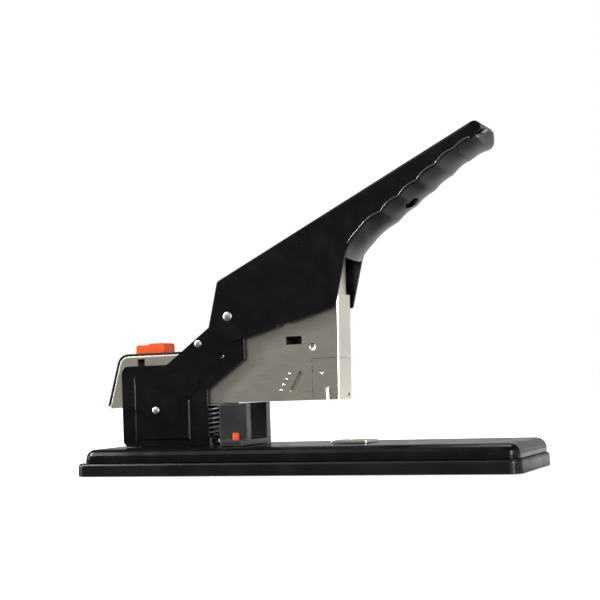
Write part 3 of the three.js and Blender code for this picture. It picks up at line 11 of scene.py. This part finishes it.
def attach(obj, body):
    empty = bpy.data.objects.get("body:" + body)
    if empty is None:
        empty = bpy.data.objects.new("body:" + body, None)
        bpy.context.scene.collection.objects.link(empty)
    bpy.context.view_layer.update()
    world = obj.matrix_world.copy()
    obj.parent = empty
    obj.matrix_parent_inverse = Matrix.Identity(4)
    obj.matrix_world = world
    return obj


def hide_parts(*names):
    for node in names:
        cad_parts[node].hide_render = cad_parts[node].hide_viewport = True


MM = 0.001
WHITE = (1.0, 1.0, 1.0, 1.0)

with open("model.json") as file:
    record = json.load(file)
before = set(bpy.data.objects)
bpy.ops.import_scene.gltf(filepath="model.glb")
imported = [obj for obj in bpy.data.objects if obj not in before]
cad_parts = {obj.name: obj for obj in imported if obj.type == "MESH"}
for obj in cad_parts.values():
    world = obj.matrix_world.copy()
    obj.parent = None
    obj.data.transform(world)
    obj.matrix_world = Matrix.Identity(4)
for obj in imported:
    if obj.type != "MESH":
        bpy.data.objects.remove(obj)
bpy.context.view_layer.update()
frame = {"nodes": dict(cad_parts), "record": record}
nodes = frame["nodes"]


# Camera, from the perspective of the straight edges in the photograph
CAMERA_PLACE_MM = (322.1, -729.3, 53.75)
CAMERA_YAW = 23.843
CAMERA_PITCH = 3.666
CAMERA_ROLL = -2.131
CAMERA_LENS_MM = 78.0
CAMERA_SENSOR_MM = 36.0
CAMERA_NEAREST_MM = 50.0


def make_camera():
    yaw, pitch, roll = (math.radians(a) for a in (CAMERA_YAW, CAMERA_PITCH, CAMERA_ROLL))
    level = math.cos(pitch)
    forward = Vector((-math.sin(yaw) * level, math.cos(yaw) * level, math.sin(pitch)))
    right = Vector((math.cos(yaw), math.sin(yaw), 0.0))
    up = right.cross(forward)
    across = right * math.cos(roll) + up * math.sin(roll)
    top = up * math.cos(roll) - right * math.sin(roll)
    data = bpy.data.cameras.new("camera")
    data.sensor_width = CAMERA_SENSOR_MM
    data.lens = CAMERA_LENS_MM
    data.clip_start = CAMERA_NEAREST_MM * MM
    camera = bpy.data.objects.new("camera", data)
    bpy.context.scene.collection.objects.link(camera)
    turn = Matrix((across, top, -forward)).transposed().to_4x4()
    camera.matrix_world = Matrix.Translation(Vector(CAMERA_PLACE_MM) * MM) @ turn
    bpy.context.scene.camera = camera


# Slot in the grip: its middle and sizes in millimetres, and its run in X and Z
SLOT_MIDDLE = (76.0, -4.5, 157.7)
SLOT_RUN = (0.916, 0.4)
SLOT_HALF_LENGTH = 2.3
SLOT_RADIUS = 1.6
SLOT_EDGE = 0.5
SLOT_DEPTH = 2.4
SLOT_SLANT_SHARE = 0.3
SLOT_DISTANCE_SHARES = (1.0, 0.4)
# Painted shade inside the slot: the half-sizes of an ellipsoid round it in millimetres, and the scaled
# distances over which it fades into the plastic's own colour and gloss
SLOT_PAINTED_SHADE_HALVES = (4.7, 2.4, 9.0)
SLOT_PAINTED_SHADE_EDGE = (0.84, 1.0)

# Sockets of a Mix node by number: its share, two values, two colours, and the mixed colour that it gives
MIX_SHARE = 0
MIX_VALUE_A, MIX_VALUE_B = 2, 3
MIX_COLOUR_A, MIX_COLOUR_B = 6, 7
MIXED_COLOUR = 2


# Materials. The grain of the plastics and the rolling lines of the nickel are finer on the real thing, and
# are drawn as coarse as they need to show
def linear(hex_colour):
    """A colour written as sRGB hex, as the linear values that shaders take."""
    channels = [int(hex_colour[i:i + 2], 16) / 255 for i in (1, 3, 5)]
    light = (c / 12.92 if c <= 0.04045 else ((c + 0.055) / 1.055) ** 2.4 for c in channels)
    return (*light, 1.0)


def set_inputs(tree, made, inputs):
    """Gives the inputs of a node their values or links: in order, or by name or number."""
    pairs = inputs.items() if isinstance(inputs, dict) else enumerate(inputs)
    for key, value in pairs:
        if isinstance(value, bpy.types.NodeSocket):
            tree.links.new(value, made.inputs[key])
        else:
            made.inputs[key].default_value = value


def add_node(tree, kind, inputs, **settings):
    """Adds a node with its settings and inputs, and gives its outputs."""
    made = tree.nodes.new("ShaderNode" + kind)
    for key, value in settings.items():
        setattr(made, key, value)
    set_inputs(tree, made, inputs)
    return made.outputs


def new_finish(name):
    """A new material, its node tree and its Object coordinates."""
    material = bpy.data.materials.new(name)
    material.use_nodes = True
    tree = material.node_tree
    return material, tree, add_node(tree, "TexCoord", {})["Object"]


def clouded(tree, pattern, low, high, first, second, most=1.0):
    """A colour that gives way to a second one, at most by a share, as a pattern rises from low to high."""
    share = add_node(tree, "MapRange", (pattern, low, high, 0.0, most))[0]
    tones = {MIX_SHARE: share, MIX_COLOUR_A: first, MIX_COLOUR_B: second}
    return add_node(tree, "Mix", tones, data_type="RGBA")[MIXED_COLOUR]


def shade(material, **inputs):
    """Gives the shader of a material its values and links, by names with underscores for spaces."""
    tree = material.node_tree
    named = {key.replace("_", " "): value for key, value in inputs.items()}
    set_inputs(tree, tree.nodes["Principled BSDF"], named)
    return material


def black_paint():
    """Black stoving enamel, sprayed on pressed steel: deep and glossy, with faint orange peel and dust."""
    made, tree, place = new_finish("black_paint")
    peel = add_node(tree, "TexNoise", {"Vector": place, "Scale": 1 / (2.6 * MM), "Detail": 1.0})["Fac"]
    dust = add_node(tree, "TexNoise", {"Vector": place, "Scale": 1 / (14 * MM), "Detail": 6.0})["Fac"]
    return shade(
        made,
        Base_Color=clouded(tree, dust, 0.45, 0.8, linear("#070709"), linear("#0e0e10")),
        Roughness=add_node(tree, "MapRange", (dust, 0.35, 0.75, 0.17, 0.27))[0],
        Specular_IOR_Level=0.16,
        Normal=add_node(tree, "Bump", {"Height": peel, "Strength": 0.1, "Distance": 0.06 * MM})[0],
    )


def rubbed_enamel():
    """The same enamel on the rolled edge of the handle, rubbed by hands: a soft line of light along it."""
    made, tree, place = new_finish("rubbed_enamel")
    rub = add_node(tree, "TexNoise", {"Vector": place, "Scale": 1 / (4 * MM), "Detail": 3.0})["Fac"]
    return shade(
        made,
        Base_Color=linear("#0b0b0d"),
        Roughness=add_node(tree, "MapRange", (rub, 0.3, 0.7, 0.22, 0.4))[0],
        Coat_Weight=0.25,
        Specular_IOR_Level=0.6,
    )


def black_plastic():
    """Moulded ABS in black: satin, with a fine spark-eroded grain that softens its highlights."""
    made, tree, place = new_finish("black_plastic")
    grain = add_node(tree, "TexNoise", {"Vector": place, "Scale": 1 / (0.5 * MM), "Detail": 3.0})["Fac"]
    wear = add_node(tree, "TexNoise", {"Vector": place, "Scale": 1 / (18 * MM), "Detail": 5.0})["Fac"]
    return shade(
        made,
        Base_Color=clouded(tree, wear, 0.4, 0.75, linear("#0d0d0e"), linear("#151517")),
        Roughness=add_node(tree, "MapRange", (wear, 0.3, 0.7, 0.34, 0.46))[0],
        Specular_IOR_Level=0.8,
        Normal=add_node(tree, "Bump", {"Height": grain, "Strength": 0.12, "Distance": 0.04 * MM})[0],
    )


def grip_plastic():
    """The same ABS on the grip, polished by hands, with painted shade inside its slot: near black there and
    without gloss.
    """
    made, tree, place = new_finish("grip_plastic")
    grain = add_node(tree, "TexNoise", {"Vector": place, "Scale": 1 / (0.5 * MM), "Detail": 3.0})["Fac"]
    wear = add_node(tree, "TexNoise", {"Vector": place, "Scale": 1 / (18 * MM), "Detail": 5.0})["Fac"]
    # Painted shade inside the slot: within an ellipsoid round it the colour turns near black and the gloss
    # goes
    slot = {
        "Vector": place,
        "Location": [c * MM for c in SLOT_MIDDLE],
        "Rotation": (0.0, -math.atan2(SLOT_RUN[1], SLOT_RUN[0]), 0.0),
        "Scale": [c * MM for c in SLOT_PAINTED_SHADE_HALVES],
    }
    centred = add_node(tree, "Mapping", slot, vector_type="TEXTURE")[0]
    away = add_node(tree, "VectorMath", (centred,), operation="LENGTH")["Value"]
    worn = clouded(tree, wear, 0.4, 0.75, linear("#0d0d0e"), linear("#151517"))
    return shade(
        made,
        Base_Color=clouded(tree, away, *SLOT_PAINTED_SHADE_EDGE, linear("#010101"), worn),
        Roughness=add_node(tree, "MapRange", (wear, 0.3, 0.7, 0.34, 0.46))[0],
        Specular_IOR_Level=add_node(tree, "MapRange", (away, *SLOT_PAINTED_SHADE_EDGE, 0.0, 0.8))[0],
        Normal=add_node(tree, "Bump", {"Height": grain, "Strength": 0.12, "Distance": 0.04 * MM})[0],
    )


def tray_plastic():
    """Moulded polypropylene in black: duller and deeper than the ABS, with a fine grain."""
    made, tree, place = new_finish("tray_plastic")
    grain = add_node(tree, "TexNoise", {"Vector": place, "Scale": 1 / (0.6 * MM), "Detail": 3.0})["Fac"]
    wear = add_node(tree, "TexNoise", {"Vector": place, "Scale": 1 / (22 * MM), "Detail": 5.0})["Fac"]
    return shade(
        made,
        Base_Color=clouded(tree, wear, 0.4, 0.75, linear("#09090a"), linear("#101012")),
        Roughness=add_node(tree, "MapRange", (wear, 0.3, 0.7, 0.27, 0.38))[0],
        Specular_IOR_Level=0.24,
        Normal=add_node(tree, "Bump", {"Height": grain, "Strength": 0.1, "Distance": 0.04 * MM})[0],
    )


def nickel():
    """Nickel plate on rolled steel sheet: warm grey, satin, with rolling lines, soft clouds and spots."""
    made, tree, place = new_finish("nickel")
    rolled = add_node(tree, "Mapping", {"Vector": place, "Scale": (1 / 40, 1.0, 1.0)})[0]
    lines = add_node(tree, "TexNoise", {"Vector": rolled, "Scale": 1 / (0.4 * MM), "Detail": 3.0})["Fac"]
    cloud = add_node(tree, "TexNoise", {"Vector": place, "Scale": 1 / (30 * MM), "Detail": 3.0})["Fac"]
    spots = add_node(tree, "TexNoise", {"Vector": place, "Scale": 1 / (3.2 * MM), "Detail": 4.0})["Fac"]
    tone = clouded(tree, cloud, 0.3, 0.7, linear("#d2ccbd"), linear("#c4bfb5"))
    return shade(
        made,
        Base_Color=clouded(tree, spots, 0.64, 0.8, tone, linear("#a5a095"), most=0.3),
        Metallic=1.0,
        Roughness=add_node(tree, "MapRange", (lines, 0.3, 0.7, 0.29, 0.4))[0],
        Normal=add_node(tree, "Bump", {"Height": lines, "Strength": 0.07, "Distance": 0.03 * MM})[0],
    )


def spring_steel():
    """Blackened steel with an oil film, on the seat under the return spring: dark, with a dull sheen."""
    made, tree, place = new_finish("spring_steel")
    film = add_node(tree, "TexNoise", {"Vector": place, "Scale": 1 / (3 * MM), "Detail": 3.0})["Fac"]
    return shade(
        made,
        Base_Color=clouded(tree, film, 0.4, 0.7, linear("#303135"), linear("#232427")),
        Metallic=1.0,
        Roughness=add_node(tree, "MapRange", (film, 0.3, 0.7, 0.34, 0.5))[0],
    )


def zinc_plate():
    """Bright zinc plate on turned and pressed steel, with a soft mottle."""
    made, tree, place = new_finish("zinc_plate")
    cloud = add_node(tree, "TexNoise", {"Vector": place, "Scale": 1 / (5 * MM), "Detail": 4.0})["Fac"]
    return shade(
        made,
        Base_Color=clouded(tree, cloud, 0.4, 0.7, linear("#a9acb0"), linear("#8d9094")),
        Metallic=1.0,
        Roughness=add_node(tree, "MapRange", (cloud, 0.3, 0.7, 0.22, 0.38))[0],
    )


def orange_plastic():
    """Moulded ABS in signal orange, satin, a little uneven where thumbs polish it."""
    made, tree, place = new_finish("orange_plastic")
    grain = add_node(tree, "TexNoise", {"Vector": place, "Scale": 1 / (0.6 * MM), "Detail": 3.0})["Fac"]
    tone = add_node(tree, "TexNoise", {"Vector": place, "Scale": 1 / (9 * MM), "Detail": 4.0})["Fac"]
    return shade(
        made,
        Base_Color=clouded(tree, tone, 0.3, 0.7, linear("#c04410"), linear("#b03a0a")),
        Roughness=add_node(tree, "MapRange", (tone, 0.3, 0.7, 0.4, 0.52))[0],
        Specular_IOR_Level=0.25,
        Normal=add_node(tree, "Bump", {"Height": grain, "Strength": 0.12, "Distance": 0.05 * MM})[0],
    )


def rubber():
    """Moulded black rubber, matt and slightly rough."""
    made, tree, place = new_finish("rubber")
    grain = add_node(tree, "TexNoise", {"Vector": place, "Scale": 1 / (0.4 * MM), "Detail": 4.0})["Fac"]
    return shade(
        made,
        Base_Color=linear("#161616"),
        Roughness=add_node(tree, "MapRange", (grain, 0.3, 0.7, 0.7, 0.9))[0],
        Normal=add_node(tree, "Bump", {"Height": grain, "Strength": 0.4, "Distance": 0.1 * MM})[0],
    )


def dress():
    """Gives each piece of the solid model the finish of its slot, and two of them one of their own."""
    finishes = {
        "black_paint": black_paint(),
        "black_plastic": black_plastic(),
        "nickel": nickel(),
        "steel": zinc_plate(),
        "orange": orange_plastic(),
        "rubber": rubber(),
    }
    for entry in frame["record"]["subparts"]:
        for slot in nodes[entry["node"]].material_slots:
            slot.link = "OBJECT"
            slot.material = finishes[entry["material_slot"]]
    nodes["base_tray"].material_slots[0].material = tray_plastic()
    nodes["spring_seat"].material_slots[0].material = spring_steel()


# Rounding of the sheet and moulded edges of pieces kept from the solid model, in millimetres
EDGE_WIDTHS = {
    "base_shell": 0.4,
    "base_tray": 0.5,
    "side_frame_left": 0.6,
    "side_frame_right": 0.6,
    "handle_shell": 0.4,
    "magazine_housing": 0.5,
    "drawer_nose": 0.7,
    "paper_guide": 1.3,
    "release_button": 0.6,
    "rear_cover": 0.3,
    "anvil_plate": 0.3,
}
EDGE_SEGMENTS = 3
EDGE_DEGREES = 32
FLAT_DEGREES = 0.6
JOINED_WITHIN = 0.002


def soften(name, width):
    """Joins the loose triangles of a node, merges them into flat faces and rounds their edges."""
    shown = nodes[name]
    joined = shown.modifiers.new("joined", "WELD")
    joined.merge_threshold = JOINED_WITHIN * MM
    flat = shown.modifiers.new("faces", "DECIMATE")
    flat.decimate_type = "DISSOLVE"
    flat.angle_limit = math.radians(FLAT_DEGREES)
    edge = shown.modifiers.new("edges", "BEVEL")
    edge.width = width * MM
    edge.segments = EDGE_SEGMENTS
    edge.limit_method = "ANGLE"
    edge.angle_limit = math.radians(EDGE_DEGREES)
    edge.use_clamp_overlap = True


# Shapes worked out as grids of points
def mesh_piece(name, points, faces, finish, body):
    """A piece from points in millimetres and quads, riding a body."""
    mesh = bpy.data.meshes.new(name)
    mesh.from_pydata((points * MM).tolist(), [], faces.tolist())
    mesh.update()
    mesh.polygons.foreach_set("use_smooth", [True] * len(mesh.polygons))
    mesh.materials.append(finish)
    piece = bpy.data.objects.new(name, mesh)
    bpy.context.scene.collection.objects.link(piece)
    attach(piece, body)
    return piece


def close_and_turn(piece, ends=()):
    """Closes open ends of a piece with one face each, and turns all its faces outwards."""
    work = bmesh.new()
    work.from_mesh(piece.data)
    work.verts.ensure_lookup_table()
    for ring in ends:
        work.faces.new([work.verts[int(i)] for i in ring])
    bmesh.ops.recalc_face_normals(work, faces=work.faces)
    work.to_mesh(piece.data)
    work.free()


def grid_faces(rows, columns, start=0, around=False):
    """Quads of a grid of rows by columns, closed round its columns if around is set."""
    across = columns if around else columns - 1
    row, column = np.meshgrid(np.arange(rows - 1), np.arange(across), indexing="ij")
    here = row * columns
    after = here + columns
    step = (column + 1) % columns
    corners = (here + column, here + step, after + step, after + column)
    return np.stack([start + c.ravel() for c in corners], axis=1)


def shell_faces(rows, columns):
    """Quads of a closed shell: a grid, a second one behind it, turned round, and the four rims."""
    behind = rows * columns
    front = grid_faces(rows, columns)
    back = grid_faces(rows, columns, start=behind)[:, ::-1]
    near = np.arange(rows - 1) * columns
    far = near + columns - 1
    first = np.arange(columns - 1)
    final = first + (rows - 1) * columns
    rims = [
        np.stack([near, near + columns, behind + near + columns, behind + near], axis=1),
        np.stack([far, behind + far, behind + far + columns, far + columns], axis=1),
        np.stack([first, behind + first, behind + first + 1, first + 1], axis=1),
        np.stack([final, final + 1, behind + final + 1, behind + final], axis=1),
    ]
    return np.vstack([front, back] + rims)


def tube(path, radius, sides=12):
    """A round bar carried along a path in a plane of X and Z: each ring stands square to the path."""
    path = np.asarray(path, float)
    along = np.gradient(path, axis=0)
    along /= np.linalg.norm(along, axis=1, keepdims=True)
    side = np.cross(along, (0.0, 1.0, 0.0))
    side /= np.linalg.norm(side, axis=1, keepdims=True)
    other = np.cross(along, side)
    angle = np.linspace(0, 2 * np.pi, sides, endpoint=False)
    ring = side[:, None] * np.cos(angle)[None, :, None] + other[:, None] * np.sin(angle)[None, :, None]
    points = (path[:, None] + radius * ring).reshape(-1, 3)
    faces = grid_faces(len(path), sides, around=True)
    ends = [np.arange(sides)[::-1], (len(path) - 1) * sides + np.arange(sides)]
    return points, faces, ends


def between(start, finish, share):
    return start + (finish - start) * share


# Grip under the handle: places in X and Z in millimetres, as in the solid model
GRIP_THROAT = [(36.3, 127.4), (46.7, 142.5)]
GRIP_RIDGES = [(61 + 45.9 * i / 4, 151.8 + 32.4 * i / 4) for i in range(5)]
GRIP_TIP = np.array((118.6, 196.4))
GRIP_TIP_RADIUS = 6.4
GRIP_WRAP_DEGREES = (-75, -4)
GRIP_HALF_WIDTH = 13.3
GRIP_CROWN = 5.8
GRIP_THROAT_CROWN_SHARE = 0.42
GRIP_SINK = 2.3
GRIP_GROOVE = 1.5
GRIP_MIDDLE_GROOVE_SHARE = 0.55
GRIP_RIDGE_ROUNDING = 0.03
GRIP_RIM = 2.2
GRIP_DEPTH = 6.5
GRIP_END_WALL = 2.0
GRIP_INNER_WIDTH_SHARE = 0.999
GRIP_BEVEL = 0.4
GRIP_BEVEL_SEGMENTS = 2
GRIP_BEVEL_DEGREES = 50

# Counts of the grid of the grip, and the ridges' bow in its steps, rising and falling at these grooves
GRIP_STEPS = 16
GRIP_WRAP_STEPS = 24
GRIP_COLUMNS = 97
GRIP_BOW_STEPS = 1.9
GRIP_BOW_RISE = (1, 2.5)
GRIP_BOW_FALL = 6

# In grooves: run-in of the sunk edge, place and length of its run-out, and what the bead stops short by
GRIP_LEAD = 2
GRIP_END = (1, 0.7)
BEAD_ENDS = (0.4, 0.2)

# Steel handle: half its width, its slope, and the rounding of the grip's end in plan
HANDLE_HALF_WIDTH = 15.0
HANDLE_EDGE_INSET = 0.2
HANDLE_SLOPE = math.atan2(81.3, 166.9)
END_RADIUS = 15.0
END_START = -8.4
END_REACH_SHARE = 0.98
BEAD_RADIUS = 1.0
BEAD_LIFT = 1.0
BEAD_SINK = 0.65


def grip_path():
    """The underside as places, inward directions and shares: of the groove, of the way from the throat, of
    the last stretch before the tip and of the way round the tip; and where the steel bead runs."""
    toe_angle = math.radians(GRIP_WRAP_DEGREES[0])
    toe = GRIP_TIP + GRIP_TIP_RADIUS * np.array((math.cos(toe_angle), math.sin(toe_angle)))
    corners = np.vstack([GRIP_THROAT, GRIP_RIDGES, toe])
    share = np.arange(GRIP_STEPS) / GRIP_STEPS
    step = corners[1:] - corners[:-1]
    along = step / np.linalg.norm(step, axis=1, keepdims=True)
    inward = np.stack([-along[:, 1], along[:, 0]], axis=1)
    places = (corners[:-1, None] + step[:, None] * share[None, :, None]).reshape(-1, 2)
    normals = np.repeat(inward, GRIP_STEPS, axis=0)
    angle = np.radians(np.linspace(*GRIP_WRAP_DEGREES, GRIP_WRAP_STEPS))
    out = np.stack([np.cos(angle), np.sin(angle)], axis=1)
    places = np.vstack([places, GRIP_TIP + GRIP_TIP_RADIUS * out])
    normals = smoothed(np.vstack([normals, -out]))
    grooves = len(step)
    position = np.arange(grooves * GRIP_STEPS) / GRIP_STEPS
    tip = (0, GRIP_WRAP_STEPS)
    groove = np.pad(position % 1, tip)
    lead = np.pad(np.clip(position / GRIP_LEAD, 0, 1), tip, constant_values=1)
    end = np.pad(np.clip((position - grooves + GRIP_END[0]) / GRIP_END[1], 0, 1), tip, constant_values=1)
    wrap = np.append(np.zeros(len(position)), np.linspace(0, 1, GRIP_WRAP_STEPS))
    beaded = np.pad((position > BEAD_ENDS[0]) & (position < grooves - BEAD_ENDS[1]), tip)
    return places, normals, groove, lead, end, wrap, beaded


def smoothed(normals):
    """Directions averaged over five neighbours with weights that fall off evenly from the middle one."""
    weights = np.array([1, 2, 3, 2, 1]) / 9
    padded = np.pad(normals, ((2, 2), (0, 0)), mode="edge")
    mean = sum(padded[k:k + len(normals)] * weights[k] for k in range(5))
    return mean / np.linalg.norm(mean, axis=1, keepdims=True)


def grip_offsets(rows, groove, lead, end, wrap):
    """Distances inward at the edges and along the middle. Edges: half sine waves, sunk from the throat to
    the last stretch. Middle: the same waves, lower and with rounded ridges, on a crown that grows by a
    quarter sine from the throat and falls by a squared cosine round the tip. Both thin out round the tip."""
    thinned = (GRIP_RIM - GRIP_END_WALL) * wrap
    wave = np.sin(groove * np.pi)
    edge = GRIP_SINK * lead * (1 - end) + GRIP_GROOVE * wave + thinned
    rounded = np.sqrt(wave ** 2 + GRIP_RIDGE_ROUNDING) - math.sqrt(GRIP_RIDGE_ROUNDING)
    growth = np.sin(np.clip(rows / GRIP_STEPS, 0, 1) * np.pi / 2)
    crown = GRIP_CROWN * between(GRIP_THROAT_CROWN_SHARE, 1.0, growth) * np.cos(wrap * np.pi / 2) ** 2
    middle = GRIP_GROOVE * GRIP_MIDDLE_GROOVE_SHARE * rounded + thinned - crown
    return edge, middle


def grip_half_widths(places):
    """Half the width along the grip: even, and then a circle in plan round its end."""
    direction = np.array((math.cos(HANDLE_SLOPE), math.sin(HANDLE_SLOPE)))
    reach = (places - GRIP_TIP) @ direction - END_START
    past = np.clip(reach, 0, END_RADIUS * END_REACH_SHARE)
    rounded = HANDLE_HALF_WIDTH - END_RADIUS + np.sqrt(END_RADIUS ** 2 - past ** 2)
    return np.minimum(rounded, GRIP_HALF_WIDTH)


def slot_depths(flat, y):
    """Depth of the slot: a ramp of the distance from a short slanted line, where height counts for less."""
    from_slot = flat - np.array((SLOT_MIDDLE[0], SLOT_MIDDLE[2]))
    run = np.array(SLOT_RUN)
    along = np.clip(from_slot @ run, -SLOT_HALF_LENGTH, SLOT_HALF_LENGTH)
    beside = (from_slot - along[..., None] * run) * np.array(SLOT_DISTANCE_SHARES)
    across = y - SLOT_MIDDLE[1] - along * SLOT_SLANT_SHARE
    gap = np.sqrt((beside ** 2).sum(axis=-1) + across ** 2)
    return SLOT_DEPTH * np.clip((SLOT_RADIUS - gap) / SLOT_EDGE, 0, 1)


def grip(finish):
    """The moulded grip between the sides of the handle: a parabola across, from the edge to the middle
    offsets, its ridges bowed along it by the same parabola, a slot sunk in it and a plain inner side."""
    places, inward, groove, lead, end, wrap, _ = grip_path()
    turn = np.linspace(0, np.pi, GRIP_COLUMNS)
    bulge = np.sin(turn)[None, :] ** 2
    count = len(places)
    rows = np.arange(count, dtype=float)
    rise, full, fall = (GRIP_STEPS * grooves for grooves in (*GRIP_BOW_RISE, GRIP_BOW_FALL))
    bowed = np.interp(rows, [0, rise, full, fall, count - 1], [0, 0, 1, 1, 0])
    row = rows[:, None] + GRIP_BOW_STEPS * bowed[:, None] * bulge
    place = np.stack([np.interp(row, rows, places[:, k]) for k in (0, 1)], axis=-1)
    inside = np.stack([np.interp(row, rows, inward[:, k]) for k in (0, 1)], axis=-1)
    edge, middle = grip_offsets(rows, groove, lead, end, wrap)
    offset = between(edge[:, None], middle[:, None], bulge)
    y = -grip_half_widths(places)[:, None] * np.cos(turn)[None, :]
    flat = place + inside * offset[:, :, None]
    flat = flat + inside * slot_depths(flat, y)[:, :, None]
    outer = np.stack([flat[..., 0], y, flat[..., 1]], axis=-1)
    under = place + inside * between(GRIP_DEPTH, GRIP_RIM, end)[:, None, None]
    inner = np.stack([under[..., 0], y * GRIP_INNER_WIDTH_SHARE, under[..., 1]], axis=-1)
    points = np.vstack([outer.reshape(-1, 3), inner.reshape(-1, 3)])
    faces = shell_faces(count, GRIP_COLUMNS)
    piece = mesh_piece("grip", points, faces, finish, "handle")
    close_and_turn(piece)
    rim = piece.modifiers.new("rim", "BEVEL")
    rim.width = GRIP_BEVEL * MM
    rim.segments = GRIP_BEVEL_SEGMENTS
    rim.limit_method = "ANGLE"
    rim.angle_limit = math.radians(GRIP_BEVEL_DEGREES)
    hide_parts("grip_insert")


def handle_rims(finish):
    """The rolled edge of the steel handle along the grip: a bead on each side, sunk in the sheet, that
    follows the half sine waves of the grooves."""
    places, inward, groove, _, _, _, beaded = grip_path()
    lift = HANDLE_EDGE_INSET + BEAD_LIFT + GRIP_GROOVE * np.sin(groove * np.pi)
    line = (places + inward * lift[:, None])[beaded]
    for name, side in (("near", -1), ("far", 1)):
        y = np.full(len(line), side * (HANDLE_HALF_WIDTH - BEAD_SINK))
        points, quads, ends = tube(np.stack([line[:, 0], y, line[:, 1]], axis=1), BEAD_RADIUS)
        piece = mesh_piece("handle_rim_" + name, points, quads, finish, "handle")
        close_and_turn(piece, ends)


# Floor, backdrop and lights, in metres; the directions are towards the camera, away from it and up
CAMERA_SIDE = (-0.404, -0.914, 0.06)
AWAY_SIDE = (-0.404, 0.914, 0.0)
UP = (0.0, 0.0, 1.0)
FLOOR_HALF = 3.0
DIFFUSE_LEVEL = 0.4

# Floor: the depths between which it turns from behind to front, the distances between which the camera
# comes to see it as white, and the glow that it starts from near the object and that gloss sees behind it
FLOOR_TURN = (-0.14, 0.0)
FLOOR_FADE = (0.16, 0.5)
FLOOR_NEAR_GLOW = 0.5
FLOOR_MIRRORED_GLOW = 0.4

# Each row dims what gloss sees, from white to a level, as the view turns towards a direction
DIMMED_SIDES = (
    (CAMERA_SIDE, 0.45, 0.85, 0.27),
    (UP, 0.14, 0.42, 0.12),
    (AWAY_SIDE, 0.72, 0.97, 0.52),
)

# Name, place, aim, size and power in watts of each lamp
MIDDLE = (0.0, 0.0, 0.08)
LAMPS = (
    ("key", (-0.5, -0.9, 1.0), MIDDLE, (0.6, 0.6), 4.5),
    ("fill", (1.0, -0.3, 0.5), MIDDLE, (0.5, 0.8), 2.5),
    ("top", (0.1, 0.3, 1.2), MIDDLE, (0.9, 0.6), 8),
    ("right strip", (0.75, -0.85, 0.3), MIDDLE, (0.1, 0.6), 14),
    ("left strip", (-1.2, -0.3, 0.28), MIDDLE, (0.12, 0.5), 11),
    ("upper left", (-0.72, -0.36, 0.65), (0.09, 0.0, 0.17), (0.14, 0.14), 5),
)


def pale_floor():
    """Pale grey card that the camera sees as white, but for the shadow near the object. Gloss on the object
    shows it white behind and dark on the camera's side, as with a black card in front of a studio sweep."""
    made, tree, place = new_finish("floor")
    path = add_node(tree, "LightPath", {})
    away = add_node(tree, "VectorMath", (place,), operation="LENGTH")["Value"]
    depth = add_node(tree, "VectorMath", (place, CAMERA_SIDE), operation="DOT_PRODUCT")["Value"]
    front = add_node(tree, "MapRange", (depth, *FLOOR_TURN, 0.0, 1.0))[0]
    darkened = add_node(tree, "Math", (path["Is Glossy Ray"], front), operation="MULTIPLY")[0]
    tones = {MIX_SHARE: darkened, MIX_COLOUR_A: linear("#e8e8e8"), MIX_COLOUR_B: linear("#303030")}
    whitened = add_node(tree, "MapRange", (away, *FLOOR_FADE, FLOOR_NEAR_GLOW, 1.0))[0]
    shown = add_node(tree, "Math", (path["Is Camera Ray"], whitened), operation="MULTIPLY")[0]
    behind = add_node(tree, "MapRange", (depth, *FLOOR_TURN, FLOOR_MIRRORED_GLOW, 0.0))[0]
    mirrored = add_node(tree, "Math", (path["Is Glossy Ray"], behind), operation="MULTIPLY")[0]
    return shade(
        made,
        Base_Color=add_node(tree, "Mix", tones, data_type="RGBA")[MIXED_COLOUR],
        Roughness=0.9,
        Emission_Color=WHITE,
        Emission_Strength=add_node(tree, "Math", (shown, mirrored), operation="ADD")[0],
    )


def make_floor():
    corners = [(x * FLOOR_HALF, y * FLOOR_HALF, 0) for x, y in ((-1, -1), (1, -1), (1, 1), (-1, 1))]
    mesh = bpy.data.meshes.new("floor")
    mesh.from_pydata(corners, [], [(0, 1, 2, 3)])
    floor = bpy.data.objects.new("floor", mesh)
    bpy.context.scene.collection.objects.link(floor)
    mesh.materials.append(pale_floor())


def make_world():
    """White to the camera. In reflections it is white low down, dim overhead and in a cone on the camera's
    side, and grey straight behind the object, as with black cards over and before a white sweep."""
    world = bpy.data.worlds.new("world")
    bpy.context.scene.world = world
    world.use_nodes = True
    tree = world.node_tree
    view = add_node(tree, "TexCoord", {})["Generated"]
    path = add_node(tree, "LightPath", {})
    level = 1.0
    for direction, low, high, dimmed in DIMMED_SIDES:
        near = add_node(tree, "VectorMath", (view, direction), operation="DOT_PRODUCT")["Value"]
        ranges = (near, low, high, 1.0, dimmed)
        faded = add_node(tree, "MapRange", ranges, interpolation_type="SMOOTHSTEP")[0]
        level = add_node(tree, "Math", (level, faded), operation="MINIMUM")[0]
    lit = {MIX_SHARE: path["Is Glossy Ray"], MIX_VALUE_A: DIFFUSE_LEVEL, MIX_VALUE_B: level}
    shown = {MIX_SHARE: path["Is Camera Ray"], MIX_VALUE_A: add_node(tree, "Mix", lit)[0], MIX_VALUE_B: 1.0}
    seen = add_node(tree, "Mix", shown)[0]
    set_inputs(tree, tree.nodes["Background"], {"Color": WHITE, "Strength": seen})


def add_lamp(name, place, aim, size, power):
    data = bpy.data.lights.new(name, "AREA")
    data.shape = "RECTANGLE"
    data.size, data.size_y = size
    data.energy = power
    lamp = bpy.data.objects.new(name, data)
    lamp.location = place
    lamp.rotation_euler = (Vector(aim) - Vector(place)).to_track_quat("-Z", "Y").to_euler()
    bpy.context.scene.collection.objects.link(lamp)


make_camera()
dress()
for name, width in EDGE_WIDTHS.items():
    soften(name, width)
grip(grip_plastic())
handle_rims(rubbed_enamel())
make_floor()
make_world()
for lamp in LAMPS:
    add_lamp(*lamp)
bpy.context.scene.view_settings.view_transform = "Standard"
